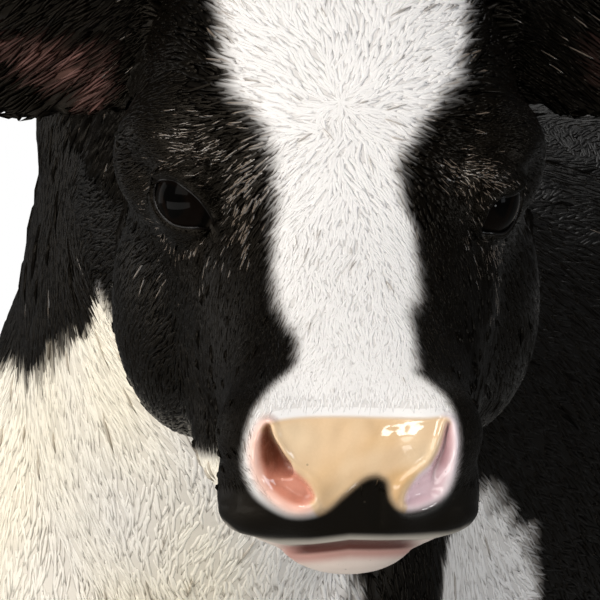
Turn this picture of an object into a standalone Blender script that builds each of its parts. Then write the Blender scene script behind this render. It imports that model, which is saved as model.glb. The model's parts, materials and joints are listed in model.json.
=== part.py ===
"""A life-size painted resin statue of a standing black-and-white dairy calf, as solids.

The calf faces -Y with its left side on +X, stands on the plane Z = 0 and turns its head to its left.
The flesh is modelled whole: lofts and muscle masses are merged, smoothed and thinned, and the
result is parted with thin cuts into head, muzzle, jaw, neck, trunk, legs and tail. The ears, eyes
and hooves are solids of their own. All sizes are in metres.
"""

import math

import bmesh
import bpy
import numpy as np
from mathutils import Matrix, Vector

# ---------------------------------------------------------------- driving dimensions

WITHERS_HEIGHT = 0.79
CHEST_FLOOR = 0.435
HEAD_LENGTH = 0.275
HEAD_HALF_WIDTH = 0.083
HEAD_TURN = math.radians(27.0)  # to the calf's left, from straight ahead
HEAD_DROP = math.radians(24.0)  # of the face line, below level
EYE_MIDPOINT = Vector((0.183, -0.500, 0.780))

EYE_LINE_STATION = 0.112  # of the eye midpoint, along the face line from the poll
EYE_LINE_DROP = 0.022  # of the eye midpoint, below the face line
EYE_CENTRE = (0.0518, 0.1172, -0.0180)  # side, station and rise of each eyeball
EYE_RADIUS = 0.0165
EYE_SHIFT = 0.0012  # both eyes sit this far to the calf's right
SKULL_SHIFT = 0.003  # the back of the skull leans this far to the calf's right

EAR_LENGTH = 0.125
EAR_HALF_WIDTH = 0.042
EAR_THICKNESS = 0.0065
EAR_CUP = 0.022

HOOF_HEIGHT = 0.046
FETLOCK_HEIGHT = 0.112
KNEE_HEIGHT = 0.288
HOCK_HEIGHT = 0.335

PARTING_GAP = 0.0005
VOXEL = 0.0042
FINE_PASSES = 7  # smoothing everywhere
BROAD_PASSES = 90  # more of it on the trunk and neck
FLESH_TRIANGLES = 4300
RING_POINTS = 28
SPANS = 5  # rings between two stations of a loft

# ---------------------------------------------------------------- scene and collections


def clear_scene():
    for obj in list(bpy.data.objects):
        bpy.data.objects.remove(obj)


def new_collection(name):
    collection = bpy.data.collections.new(name)
    bpy.context.scene.collection.children.link(collection)
    return collection


def paint(name, colour, roughness):
    material = bpy.data.materials.new(name)
    material.use_nodes = True
    shader = material.node_tree.nodes["Principled BSDF"]
    shader.inputs["Base Color"].default_value = (*colour, 1.0)
    shader.inputs["Roughness"].default_value = roughness
    shader.inputs["Metallic"].default_value = 0.0
    return material


clear_scene()
STATUE = new_collection("calf_statue")
CUTTERS = new_collection("cutters")
CUTTERS.hide_render = True

BLACK_COAT = paint("black_coat", (0.015, 0.013, 0.012), 0.35)
WHITE_COAT = paint("white_coat", (0.80, 0.77, 0.71), 0.4)
MUZZLE_PAINT = paint("muzzle_paint", (0.80, 0.62, 0.42), 0.15)
EYE_GLASS = paint("eye_glass", (0.02, 0.015, 0.012), 0.05)
HOOF_PAINT = paint("hoof_paint", (0.10, 0.08, 0.065), 0.4)

# ---------------------------------------------------------------- the head's own frame


def head_frame():
    """(poll point, left, along the face, out of the face) of the turned and lowered head."""
    along = Vector(
        (
            math.sin(HEAD_TURN) * math.cos(HEAD_DROP),
            -math.cos(HEAD_TURN) * math.cos(HEAD_DROP),
            -math.sin(HEAD_DROP),
        )
    )
    left = Vector((math.cos(HEAD_TURN), math.sin(HEAD_TURN), 0.0))
    out = along.cross(left)
    poll = EYE_MIDPOINT - along * EYE_LINE_STATION + out * EYE_LINE_DROP
    return poll, left, along, out


POLL, LEFT, ALONG, OUT = head_frame()
HEAD_AXES = Matrix((LEFT, ALONG, OUT)).transposed()
UPRIGHT = Matrix.Identity(3)


def on_head(side, station, rise):
    """A point given from the poll: to the left, down the face and out of the face."""
    return POLL + LEFT * side + ALONG * station + OUT * rise


# ---------------------------------------------------------------- shapes


def smooth_rows(rows):
    """The rows resampled on a smooth curve through them."""
    rows = np.array(rows, float)
    padded = np.vstack([2 * rows[0] - rows[1], rows, 2 * rows[-1] - rows[-2]])
    made = []
    for i in range(len(rows) - 1):
        before, start, end, after = padded[i : i + 4]
        for step in range(SPANS):
            t = step / SPANS
            made.append(
                0.5
                * (
                    2 * start
                    + (end - before) * t
                    + (2 * before - 5 * start + 4 * end - after) * t**2
                    + (3 * start - before - 3 * end + after) * t**3
                )
            )
    made.append(rows[-1])
    return made


def ring(centre, side, up, half_width, top, bottom, power, lean=0.0):
    """Points of a rounded section: power 2 is an ellipse, more is squarer; lean widens its top."""
    points = []
    for k in range(RING_POINTS):
        angle = 2 * math.pi * k / RING_POINTS
        across, rise = math.cos(angle), math.sin(angle)
        x = half_width * math.copysign(abs(across) ** (2 / power), across)
        z = (top if rise > 0 else bottom) * math.copysign(abs(rise) ** (2 / power), rise)
        x *= 1 + lean * z / (top + bottom)
        points.append(centre + side * x + up * z)
    return points


def add_loft(bm, rings):
    """A closed body through rings of equally many points."""
    loops = [[bm.verts.new(point) for point in points] for points in rings]
    for lower, upper in zip(loops, loops[1:]):
        for k in range(len(lower)):
            n = (k + 1) % len(lower)
            bm.faces.new((lower[k], lower[n], upper[n], upper[k]))
    bm.faces.new(list(reversed(loops[0])))
    bm.faces.new(loops[-1])


def add_mass(bm, centre, radii, axes=UPRIGHT, segments=24):
    """An ellipsoid: a muscle, a bone's end or a pad."""
    place = Matrix.Translation(centre) @ axes.to_4x4() @ Matrix.Diagonal((*radii, 1.0))
    bmesh.ops.create_uvsphere(
        bm, u_segments=segments, v_segments=segments // 2, radius=1.0, matrix=place
    )


def add_pair(bm, centre, radii):
    """The same mass on the calf's left and right."""
    for side in (1, -1):
        add_mass(bm, Vector((side * centre[0], centre[1], centre[2])), radii)


def add_head_pair(bm, side, station, rise, radii, shift=0.0):
    """The same mass on the head's left and right, both moved to the right by the shift."""
    for sign in (1, -1):
        add_mass(bm, on_head(sign * side - shift, station, rise), radii, HEAD_AXES)


def object_of(bm, name, collection, material=None):
    bmesh.ops.recalc_face_normals(bm, faces=bm.faces)
    mesh = bpy.data.meshes.new(name)
    bm.to_mesh(mesh)
    bm.free()
    obj = bpy.data.objects.new(name, mesh)
    collection.objects.link(obj)
    if material:
        mesh.materials.append(material)
    return obj


def applied(obj):
    """The object with its modifiers made part of its mesh."""
    bpy.context.view_layer.update()
    graph = bpy.context.evaluated_depsgraph_get()
    mesh = bpy.data.meshes.new_from_object(obj.evaluated_get(graph))
    obj.modifiers.clear()
    obj.data = mesh
    return obj


# ---------------------------------------------------------------- the flesh, modelled whole


def add_trunk(bm):
    """Barrel from the brisket to the pin bones: y, top, widest height, floor, half width, power."""
    stations = [
        (-0.350, 0.660, 0.585, 0.500, 0.052, 2.0),
        (-0.315, 0.735, 0.600, 0.462, 0.086, 2.1),
        (-0.250, 0.778, 0.605, 0.440, 0.108, 2.2),
        (-0.165, WITHERS_HEIGHT, 0.595, CHEST_FLOOR, 0.120, 2.2),
        (-0.050, 0.768, 0.580, 0.433, 0.136, 2.2),
        (0.080, 0.762, 0.585, 0.440, 0.146, 2.2),
        (0.200, 0.775, 0.600, 0.468, 0.140, 2.2),
        (0.290, 0.797, 0.630, 0.515, 0.128, 2.2),
        (0.370, 0.797, 0.660, 0.560, 0.115, 2.1),
        (0.425, 0.775, 0.665, 0.560, 0.092, 2.0),
        (0.452, 0.740, 0.660, 0.580, 0.058, 2.0),
    ]
    rings = []
    for y, top, widest, floor, half_width, power in smooth_rows(stations):
        centre = Vector((0.0, y, widest))
        side, up = Vector((1, 0, 0)), Vector((0, 0, 1))
        rings.append(ring(centre, side, up, half_width, top - widest, widest - floor, power))
    add_loft(bm, rings)
    add_pair(bm, (0.070, -0.205, 0.665), (0.040, 0.070, 0.085))  # shoulder blade
    add_pair(bm, (0.084, -0.255, 0.575), (0.038, 0.058, 0.075))  # point of the shoulder
    add_pair(bm, (0.088, -0.165, 0.515), (0.036, 0.060, 0.070))  # upper arm
    add_mass(bm, Vector((0, -0.300, 0.520)), (0.060, 0.060, 0.080))  # brisket
    add_pair(bm, (0.090, 0.262, 0.742), (0.032, 0.052, 0.036))  # hip bone
    add_pair(bm, (0.052, 0.428, 0.738), (0.026, 0.030, 0.028))  # pin bone
    add_pair(bm, (0.078, 0.350, 0.660), (0.052, 0.095, 0.115))  # rump muscle
    add_pair(bm, (0.090, 0.235, 0.540), (0.034, 0.048, 0.055))  # stifle
    add_mass(bm, Vector((0, 0.09, 0.446)), (0.020, 0.045, 0.016))  # navel


def add_neck(bm):
    """Neck from inside the chest to inside the head: x, y, z, half width, top, bottom."""
    stations = [
        (0.000, -0.120, 0.630, 0.108, 0.140, 0.170),
        (0.002, -0.215, 0.660, 0.097, 0.130, 0.160),
        (0.030, -0.300, 0.705, 0.085, 0.112, 0.130),
        (0.082, -0.365, 0.755, 0.080, 0.094, 0.100),
        (0.137, -0.420, 0.790, 0.070, 0.070, 0.075),
    ]
    rows = smooth_rows(stations)
    rings = []
    for i, (x, y, z, half_width, top, bottom) in enumerate(rows):
        ahead, behind = rows[min(i + 1, len(rows) - 1)], rows[max(i - 1, 0)]
        forward = Vector(ahead[:3]) - Vector(behind[:3])
        side = Vector((0, 0, 1)).cross(forward).normalized()
        up = forward.cross(side).normalized()
        rings.append(ring(Vector((x, y, z)), side, up, half_width, top, bottom, 2.2))
    add_loft(bm, rings)
    add_mass(bm, Vector((0.050, -0.355, 0.795)), (0.075, 0.055, 0.054))  # crest of the neck


def add_head(bm):
    """Skull and face down to the lips: station, crown, widest, floor, half width, power."""
    stations = [
        (-0.030, 0.010, -0.020, -0.060, 0.040, 2.2),
        (-0.008, 0.036, -0.025, -0.085, 0.062, 2.3),
        (0.025, 0.046, -0.032, -0.110, 0.074, 2.4),
        (0.060, 0.043, -0.040, -0.133, 0.077, 2.5),
        (0.095, 0.029, -0.052, -0.148, 0.073, 2.5),
        (0.125, 0.012, -0.060, -0.146, 0.062, 2.4),
        (0.155, 0.000, -0.060, -0.132, 0.053, 2.3),
        (0.185, -0.007, -0.058, -0.115, 0.047, 2.3),
        (0.215, -0.011, -0.055, -0.101, 0.044, 2.4),
        (0.240, -0.016, -0.053, -0.092, 0.043, 2.5),
        (0.260, -0.025, -0.051, -0.081, 0.037, 2.4),
        (HEAD_LENGTH, -0.038, -0.050, -0.066, 0.022, 2.2),
    ]
    rings = []
    for station, crown, widest, floor, half_width, power in smooth_rows(stations):
        shift = SKULL_SHIFT * min(1.0, max(0.0, (0.150 - station) / 0.050))
        centre = on_head(-shift, station, widest)
        rings.append(
            ring(centre, LEFT, OUT, half_width, crown - widest, widest - floor, power)
        )
    add_loft(bm, rings)
    add_head_pair(bm, 0.0575, 0.089, -0.015, (0.0255, 0.033, 0.027), SKULL_SHIFT)  # orbit
    add_head_pair(bm, 0.050, 0.078, -0.085, (0.034, 0.052, 0.056), SKULL_SHIFT)  # cheek
    add_head_pair(bm, 0.026, 0.246, -0.040, (0.020, 0.026, 0.020))  # nostril wing
    add_head_pair(bm, 0.022, 0.246, -0.060, (0.025, 0.026, 0.018))  # upper lip
    add_mass(bm, on_head(0, 0.236, -0.085), (0.032, 0.026, 0.014), HEAD_AXES)  # chin
    add_mass(bm, on_head(0, 0.000, 0.022), (0.046, 0.036, 0.026), HEAD_AXES)  # poll
    add_mass(bm, on_head(-0.038, 0.132, -0.102), (0.019, 0.045, 0.028), HEAD_AXES)  # right jaw


def leg_rings(stations):
    """Level rings down a leg: x, y, z, half width, half depth."""
    side, back = Vector((1, 0, 0)), Vector((0, 1, 0))
    return [
        ring(Vector((x, y, z)), side, back, half_width, half_depth, half_depth, 2.2)
        for x, y, z, half_width, half_depth in smooth_rows(stations)
    ]


def add_foreleg(bm, side, step):
    """A foreleg; step moves its foot forward (negative y) from square."""
    stations = [
        (0.078, -0.180, 0.560, 0.038, 0.062),
        (0.078, -0.178 + 0.2 * step, 0.470, 0.036, 0.050),
        (0.076, -0.180 + 0.4 * step, 0.390, 0.030, 0.037),
        (0.075, -0.184 + 0.6 * step, 0.330, 0.027, 0.030),
        (0.075, -0.188 + 0.7 * step, KNEE_HEIGHT, 0.030, 0.032),
        (0.074, -0.184 + 0.8 * step, 0.242, 0.022, 0.025),
        (0.073, -0.182 + 0.9 * step, 0.180, 0.0185, 0.021),
        (0.073, -0.182 + step, FETLOCK_HEIGHT, 0.0235, 0.026),
        (0.073, -0.190 + step, 0.074, 0.0215, 0.024),
        (0.073, -0.198 + step, 0.030, 0.025, 0.030),
    ]
    mirrored = [(side * row[0], *row[1:]) for row in stations]
    add_loft(bm, leg_rings(mirrored))
    for inner in (-1, 1):  # dew claws
        place = Vector((side * (0.073 + inner * 0.011), -0.156 + step, FETLOCK_HEIGHT - 0.014))
        add_mass(bm, place, (0.007, 0.009, 0.010))


def add_hind_leg(bm, side, step):
    """A hind leg; step moves its foot back (positive y) from square."""
    stations = [
        (0.082, 0.330, 0.660, 0.050, 0.110),
        (0.086, 0.322, 0.580, 0.051, 0.107),
        (0.084, 0.328, 0.500, 0.044, 0.086),
        (0.078, 0.356, 0.430, 0.034, 0.056),
        (0.073, 0.396, 0.375, 0.026, 0.039),
        (0.071, 0.420 + 0.3 * step, HOCK_HEIGHT, 0.027, 0.038),
        (0.070, 0.420 + 0.5 * step, 0.285, 0.0235, 0.031),
        (0.070, 0.412 + 0.8 * step, 0.190, 0.0190, 0.0235),
        (0.070, 0.402 + step, FETLOCK_HEIGHT, 0.0235, 0.027),
        (0.070, 0.392 + step, 0.074, 0.0215, 0.024),
        (0.070, 0.383 + step, 0.030, 0.025, 0.030),
    ]
    mirrored = [(side * row[0], *row[1:]) for row in stations]
    add_loft(bm, leg_rings(mirrored))
    place = Vector((side * 0.070, 0.452 + 0.3 * step, HOCK_HEIGHT + 0.022))
    add_mass(bm, place, (0.014, 0.016, 0.020))  # point of the hock
    for inner in (-1, 1):  # dew claws
        place = Vector((side * (0.070 + inner * 0.011), 0.428 + step, FETLOCK_HEIGHT - 0.014))
        add_mass(bm, place, (0.007, 0.009, 0.010))


STEPS = {"left": -0.030, "right": 0.012}  # where each forefoot stands from square
HIND_STEPS = {"left": -0.015, "right": 0.035}
SIDES = {"left": 1, "right": -1}


def add_tail(bm):
    """Tail from inside the rump to the tip of its switch: y, z, radius."""
    stations = [
        (0.400, 0.765, 0.026),
        (0.450, 0.770, 0.022),
        (0.481, 0.735, 0.017),
        (0.490, 0.660, 0.0135),
        (0.491, 0.560, 0.0115),
        (0.491, 0.460, 0.0110),
        (0.491, 0.410, 0.0150),
        (0.492, 0.350, 0.0215),
        (0.493, 0.290, 0.0185),
        (0.494, 0.245, 0.0070),
    ]
    rows = smooth_rows(stations)
    rings = []
    for i, (y, z, radius) in enumerate(rows):
        ahead, behind = rows[min(i + 1, len(rows) - 1)], rows[max(i - 1, 0)]
        down = Vector((0, ahead[0] - behind[0], ahead[1] - behind[1])).normalized()
        side = Vector((1, 0, 0))
        rings.append(ring(Vector((0, y, z)), side, side.cross(down), radius, radius, radius, 2.0))
    add_loft(bm, rings)


def whole_flesh():
    """Every mass of the body merged into one closed surface, smoothed and thinned."""
    bm = bmesh.new()
    add_trunk(bm)
    add_neck(bm)
    add_head(bm)
    for name, side in SIDES.items():
        add_foreleg(bm, side, STEPS[name])
        add_hind_leg(bm, side, HIND_STEPS[name])
    add_tail(bm)
    flesh = object_of(bm, "whole_flesh", CUTTERS)
    merge = flesh.modifiers.new("merge", "REMESH")
    merge.mode = "VOXEL"
    merge.voxel_size = VOXEL
    blend = flesh.modifiers.new("blend", "SMOOTH")
    blend.factor = 0.5
    blend.iterations = FINE_PASSES
    applied(flesh)
    weigh_flesh(flesh)
    flow = flesh.modifiers.new("flow", "SMOOTH")
    flow.factor = 0.5
    flow.iterations = BROAD_PASSES
    flow.vertex_group = "broad"
    thin = flesh.modifiers.new("thin", "DECIMATE")
    thin.ratio = FLESH_TRIANGLES / (2 * len(flesh.data.polygons))
    thin.vertex_group = "plain"
    thin.vertex_group_factor = 1.0
    return applied(flesh)


def weigh_flesh(flesh):
    """Weights: how far each place thins out, and how far it is smoothed beyond the rest."""
    plain = flesh.vertex_groups.new(name="plain")
    broad = flesh.vertex_groups.new(name="broad")
    for vertex in flesh.data.vertices:
        place = vertex.co
        down_face = (place - POLL).dot(ALONG)
        near_head = (place - EYE_MIDPOINT).length < 0.22 and down_face > -0.05
        on_leg = place.z < CHEST_FLOOR - 0.01 or place.y > 0.465
        if near_head:
            weight = 0.72 if down_face > 0.19 else 0.82
        else:
            weight = 0.9 if on_leg else 1.0
        plain.add([vertex.index], weight, "REPLACE")
        behind_head = min(1.0, max(0.0, -(down_face + 0.01) / 0.06))
        above_legs = min(1.0, max(0.0, (place.z - CHEST_FLOOR + 0.02) / 0.06))
        before_tail = min(1.0, max(0.0, (0.460 - place.y) / 0.03))
        broad.add([vertex.index], behind_head * above_legs * before_tail, "REPLACE")


# ---------------------------------------------------------------- parting cuts


def block(name, centre, size, axes=UPRIGHT, grow=0.0):
    """A box, given by its centre and full size along its axes, grown on every side."""
    bm = bmesh.new()
    full = [length + 2 * grow for length in size]
    place = Matrix.Translation(centre) @ axes.to_4x4() @ Matrix.Diagonal((*full, 1.0))
    bmesh.ops.create_cube(bm, size=1.0, matrix=place)
    cutter = object_of(bm, name, CUTTERS)
    cutter.hide_render = True
    cutter.display_type = "WIRE"
    return cutter


def cut(obj, cutter, operation):
    step = obj.modifiers.new(operation.lower(), "BOOLEAN")
    step.operation = operation
    step.object = cutter
    step.solver = "EXACT"


def part_of(flesh, name, material, keep=(), remove=()):
    """A copy of the whole flesh, kept inside some blocks and cleared of others."""
    obj = bpy.data.objects.new(name, flesh.data.copy())
    obj.data.materials.clear()
    obj.data.materials.append(material)
    STATUE.objects.link(obj)
    for cutter in keep:
        cut(obj, cutter, "INTERSECT")
    for cutter in remove:
        cut(obj, cutter, "DIFFERENCE")
    return obj


def tilted(tilt, turn=0.0):
    """Axes leaned forward by tilt about X, then turned to the left about Z."""
    return (Matrix.Rotation(turn, 3, "Z") @ Matrix.Rotation(tilt, 3, "X")).to_3x3()


def both(name, centre, size, axes=UPRIGHT):
    """The block as it keeps its part, and as it clears the neighbour, with a thin gap between."""
    keeper = block(f"{name}_keep", centre, size, axes)
    clearer = block(f"{name}_clear", centre, size, axes, PARTING_GAP)
    return keeper, clearer


def parting_blocks():
    """Where the flesh is parted, by name."""
    reach = 0.60
    nape = on_head(0, -0.018, -0.060)
    face_lean = HEAD_AXES @ Matrix.Rotation(math.radians(18), 3, "X")
    head_centre = nape + face_lean @ Vector((0, reach / 2, 0))
    muzzle_cut = on_head(0, 0.196, -0.05) + ALONG * reach / 2
    lips = on_head(0, 0.262, -0.0735)
    jaw_lean = HEAD_AXES @ Matrix.Rotation(math.radians(5), 3, "X")
    jaw_centre = lips + jaw_lean @ Vector((0, 0.020 - 0.160 / 2, -0.10))
    neck_lean = tilted(math.radians(-24), math.radians(14))
    neck_base = Vector((0.0, -0.262, 0.650))
    neck_centre = neck_base + neck_lean @ Vector((0, -reach / 2, 0))
    blocks = {
        "head": both("head_block", head_centre, (0.34, reach, 0.66), face_lean),
        "muzzle": both("muzzle_block", muzzle_cut, (0.30, reach, 0.50), HEAD_AXES),
        "jaw": both("jaw_block", jaw_centre, (0.30, 0.160, 0.20), jaw_lean),
        "neck": both("neck_block", neck_centre, (0.70, reach, 0.60), neck_lean),
        "tail": both("tail_block", Vector((0, 0.766, 0.50)), (0.07, 0.60, 0.90)),
        "switch": both("switch_block", Vector((0, 0.766, 0.21)), (0.07, 0.60, 0.40)),
    }
    leg_top, hind_top = 0.452, 0.525
    sole = HOOF_HEIGHT + PARTING_GAP
    for name, side in SIDES.items():
        centre = Vector((side * 0.115, -0.178 + STEPS[name] / 2, (leg_top + sole) / 2))
        blocks[f"foreleg_{name}"] = both(
            f"foreleg_{name}_block", centre, (0.17, 0.165, leg_top - sole)
        )
        centre = Vector((side * 0.115, 0.345, (hind_top + sole) / 2))
        blocks[f"hind_leg_{name}"] = both(
            f"hind_leg_{name}_block", centre, (0.17, 0.27, hind_top - sole)
        )
    return blocks


# ---------------------------------------------------------------- eyes, ears and hooves


def eye_centre(side):
    return on_head(side * EYE_CENTRE[0] - EYE_SHIFT, EYE_CENTRE[1], EYE_CENTRE[2])


def make_eye(name, side):
    bm = bmesh.new()
    place = Matrix.Translation(eye_centre(side)) @ HEAD_AXES.to_4x4()
    bmesh.ops.create_uvsphere(bm, u_segments=16, v_segments=10, radius=EYE_RADIUS, matrix=place)
    return object_of(bm, name, STATUE, EYE_GLASS)


def eye_socket(name, side):
    bm = bmesh.new()
    place = Matrix.Translation(eye_centre(side)) @ HEAD_AXES.to_4x4()
    radius = EYE_RADIUS + PARTING_GAP
    bmesh.ops.create_uvsphere(bm, u_segments=16, v_segments=10, radius=radius, matrix=place)
    socket = object_of(bm, name, CUTTERS)
    socket.hide_render = True
    socket.display_type = "WIRE"
    return socket


def nostril(name, side):
    """A slanting comma-shaped hollow that opens forwards and outwards."""
    slant = Matrix.Rotation(side * math.radians(30), 3, "Y")
    turn = Matrix.Rotation(side * math.radians(-28), 3, "Z")
    bm = bmesh.new()
    axes = HEAD_AXES @ turn @ slant
    place = on_head(side * 0.0265, 0.266, -0.0375)
    add_mass(bm, place, (0.0075, 0.020, 0.0135), axes, 14)
    hollow = object_of(bm, name, CUTTERS)
    hollow.hide_render = True
    hollow.display_type = "WIRE"
    return hollow


def ear_frame(side):
    """(base, outwards, across the leaf, out of its hollow) of an ear."""
    base = on_head(side * 0.064, 0.010, 0.000)
    level_left = LEFT * side
    outwards = (level_left + Vector((0, 0, 1)) * 0.05 - ALONG * 0.12).normalized()
    hollow = (ALONG * 0.86 - Vector((0, 0, 1)) * 0.05 + OUT * 0.25).normalized()
    across = outwards.cross(hollow).normalized() * side
    return base, outwards, across, across.cross(outwards) * side


def make_ear(name, side):
    """A leaf with a cupped front: a bent grid, thickened."""
    base, outwards, across, hollow = ear_frame(side)
    lengthwise, widthwise = 10, 7
    bm = bmesh.new()
    grid = []
    for i in range(lengthwise + 1):
        s = i / lengthwise
        half = EAR_HALF_WIDTH * (0.52 + 0.48 * math.sin(math.pi * min(1, 0.12 + 0.80 * s)))
        half *= math.sqrt(max(0.02, 1 - max(0, (s - 0.72) / 0.285) ** 2))
        cup = EAR_CUP * (1 - 0.45 * s)
        row = []
        for j in range(widthwise + 1):
            t = 2 * j / widthwise - 1
            rim_lift = cup * (abs(t) ** 2.2) * (half / EAR_HALF_WIDTH)
            droop = -0.004 * s**2
            place = base + outwards * (EAR_LENGTH * s) + across * (half * t)
            place += hollow * (rim_lift - 0.4 * cup) + Vector((0, 0, droop))
            row.append(bm.verts.new(place))
        grid.append(row)
    for i in range(lengthwise):
        for j in range(widthwise):
            bm.faces.new((grid[i][j], grid[i + 1][j], grid[i + 1][j + 1], grid[i][j + 1]))
    ear = object_of(bm, name, STATUE, BLACK_COAT)
    shell = ear.modifiers.new("thickness", "SOLIDIFY")
    shell.thickness = EAR_THICKNESS
    shell.offset = 0.0
    return ear


def hoof_outline(half_width, half_length, pinch):
    """Points round one claw's sole: blunt behind, narrowing to the toe in front."""
    points = []
    count = 10
    for k in range(count):
        angle = 2 * math.pi * k / count
        across, back = math.cos(angle), math.sin(angle)
        toe = max(0.0, -back)
        points.append((half_width * across * (1 - pinch * toe**2), half_length * back))
    return points


def make_hoof(name, side_x, y):
    """Two claws side by side, joined at the coronet."""
    claws = bmesh.new()
    levels = [(0.0, 1.0, 0.0), (0.014, 0.97, 0.002), (0.032, 0.88, 0.005), (HOOF_HEIGHT, 0.78, 0.008)]
    for claw in (-1, 1):
        rings = []
        for height, scale, back in levels:
            rings.append(
                [
                    Vector((side_x + claw * 0.0152 + px * scale, y + back + py * scale, height))
                    for px, py in hoof_outline(0.0150, 0.0385, 0.45)
                ]
            )
        add_loft(claws, rings)
    hoof = object_of(claws, name, STATUE, HOOF_PAINT)
    bridge = bmesh.new()
    place = Matrix.Translation((side_x, y + 0.008, HOOF_HEIGHT - 0.010))
    place = place @ Matrix.Diagonal((0.030, 0.040, 0.0196, 1.0))
    bmesh.ops.create_cube(bridge, size=1.0, matrix=place)
    joiner = object_of(bridge, f"{name}_bridge", CUTTERS)
    joiner.hide_render = True
    joiner.display_type = "WIRE"
    cut(hoof, joiner, "UNION")
    return hoof


# ---------------------------------------------------------------- the statue


def build_statue():
    flesh = whole_flesh()
    blocks = parting_blocks()
    keep = {name: pair[0] for name, pair in blocks.items()}
    clear = {name: pair[1] for name, pair in blocks.items()}
    sockets = [eye_socket(f"socket_{name}", side) for name, side in SIDES.items()]
    nostrils = [nostril(f"nostril_{name}", side) for name, side in SIDES.items()]
    part_of(
        flesh, "head", BLACK_COAT, [keep["head"]], [clear["muzzle"], clear["jaw"], *sockets]
    )
    part_of(
        flesh, "muzzle", MUZZLE_PAINT, [keep["head"], keep["muzzle"]], [clear["jaw"], *nostrils]
    )
    part_of(flesh, "lower_jaw", WHITE_COAT, [keep["head"], keep["jaw"]])
    part_of(flesh, "neck", BLACK_COAT, [keep["neck"]], [clear["head"]])
    limbs = [name for name in blocks if "leg" in name]
    feet = block("feet", Vector((0, 0, 0)), (1.0, 2.0, 2 * HOOF_HEIGHT + 0.004))
    trunk_clear = [clear[name] for name in ["neck", "head", "tail", *limbs]]
    part_of(flesh, "trunk", BLACK_COAT, [], [*trunk_clear, feet])
    for name in limbs:
        part_of(flesh, name, WHITE_COAT, [keep[name]])
    part_of(flesh, "tail", BLACK_COAT, [keep["tail"]], [clear["switch"]])
    part_of(flesh, "tail_switch", WHITE_COAT, [keep["tail"], keep["switch"]])
    for name, side in SIDES.items():
        make_eye(f"eye_{name}", side)
        ear = make_ear(f"ear_{name}", side)
        cut(ear, head_for_ears(flesh), "DIFFERENCE")
        make_hoof(f"hoof_front_{name}", side * 0.073, -0.208 + STEPS[name])
        make_hoof(f"hoof_hind_{name}", side * 0.070, 0.376 + HIND_STEPS[name])


def head_for_ears(flesh):
    """The flesh, grown a little, that the ears' roots are fitted to."""
    found = bpy.data.objects.get("flesh_grown")
    if found:
        return found
    grown = bpy.data.objects.new("flesh_grown", flesh.data.copy())
    CUTTERS.objects.link(grown)
    for vertex in grown.data.vertices:
        vertex.co += vertex.normal * PARTING_GAP
    grown.hide_render = True
    grown.display_type = "WIRE"
    return grown


def centre_on_origin():
    """Moves everything so that the statue's bounding box is centred over the origin."""
    bpy.context.view_layer.update()
    graph = bpy.context.evaluated_depsgraph_get()
    corners = [
        Vector(corner) for obj in STATUE.objects for corner in obj.evaluated_get(graph).bound_box
    ]
    middle = [(min(c[i] for c in corners) + max(c[i] for c in corners)) / 2 for i in (0, 1)]
    for obj in [*STATUE.objects, *CUTTERS.objects]:
        obj.location = (-middle[0], -middle[1], 0.0)


build_statue()
for helper in CUTTERS.objects:
    helper.hide_render = True
centre_on_origin()
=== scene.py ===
# %% [markdown]
# # A painted resin calf
# The piece is a life-size garden statue of a young black-and-white dairy calf. It was cast in
# resin from a sculpted original, so its coat is a carved texture of short overlapping strokes,
# and its colours are airbrushed paint under a clear gloss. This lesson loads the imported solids
# as a fixed frame and builds the visible surface around them.

# %% The frame
import json
import math

import bmesh
import bpy
import numpy as np
from mathutils import Matrix, Vector

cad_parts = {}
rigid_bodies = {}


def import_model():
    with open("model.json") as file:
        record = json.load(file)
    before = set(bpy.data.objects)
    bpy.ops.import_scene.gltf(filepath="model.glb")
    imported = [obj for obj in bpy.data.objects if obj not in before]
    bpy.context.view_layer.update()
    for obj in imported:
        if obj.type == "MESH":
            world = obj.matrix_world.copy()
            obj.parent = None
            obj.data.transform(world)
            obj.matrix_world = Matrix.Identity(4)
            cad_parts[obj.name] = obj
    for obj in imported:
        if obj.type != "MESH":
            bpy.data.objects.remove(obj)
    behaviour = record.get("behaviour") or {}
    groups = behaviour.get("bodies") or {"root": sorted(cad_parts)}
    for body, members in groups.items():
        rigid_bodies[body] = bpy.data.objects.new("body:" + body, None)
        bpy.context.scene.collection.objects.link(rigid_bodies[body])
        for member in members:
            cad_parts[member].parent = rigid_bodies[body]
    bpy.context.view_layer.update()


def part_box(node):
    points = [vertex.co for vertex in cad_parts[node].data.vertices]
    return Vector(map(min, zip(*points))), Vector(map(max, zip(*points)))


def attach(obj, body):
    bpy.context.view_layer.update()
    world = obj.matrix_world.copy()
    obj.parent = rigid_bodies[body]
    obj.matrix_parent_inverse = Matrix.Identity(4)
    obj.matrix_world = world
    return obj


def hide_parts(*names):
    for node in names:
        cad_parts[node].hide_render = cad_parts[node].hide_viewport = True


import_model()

scene = bpy.context.scene

# %% [markdown]
# ## Where the head is
# The head is turned to the calf's left and lowered, so everything on it is easier to place in
# its own axes: sideways to the calf's left, along the face from the poll, and out of the face.
# The two eye solids of the frame say where those axes start. A second set of axes looks at the
# face squarely, as a painter standing in front of it does, and serves for the nose and mouth.


# %% Head axes
def bearing(turn, lift):
    """A unit vector: dead ahead, turned to the calf's left and lifted from the level."""
    level = math.cos(lift)
    return np.array([math.sin(turn) * level, -math.cos(turn) * level, math.sin(lift)])


HEAD_TURN, HEAD_DROP = math.radians(27.0), math.radians(24.0)
ALONG = bearing(HEAD_TURN, -HEAD_DROP)
LEFT = np.array([math.cos(HEAD_TURN), math.sin(HEAD_TURN), 0.0])
OUT = np.cross(ALONG, LEFT)
EYE_RADIUS = 0.0165
EYE_SHIFT, EYE_STATION, EYE_RISE = -0.0012, 0.1172, -0.0180


def unit_of(vector):
    return vector / np.linalg.norm(vector)


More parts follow.
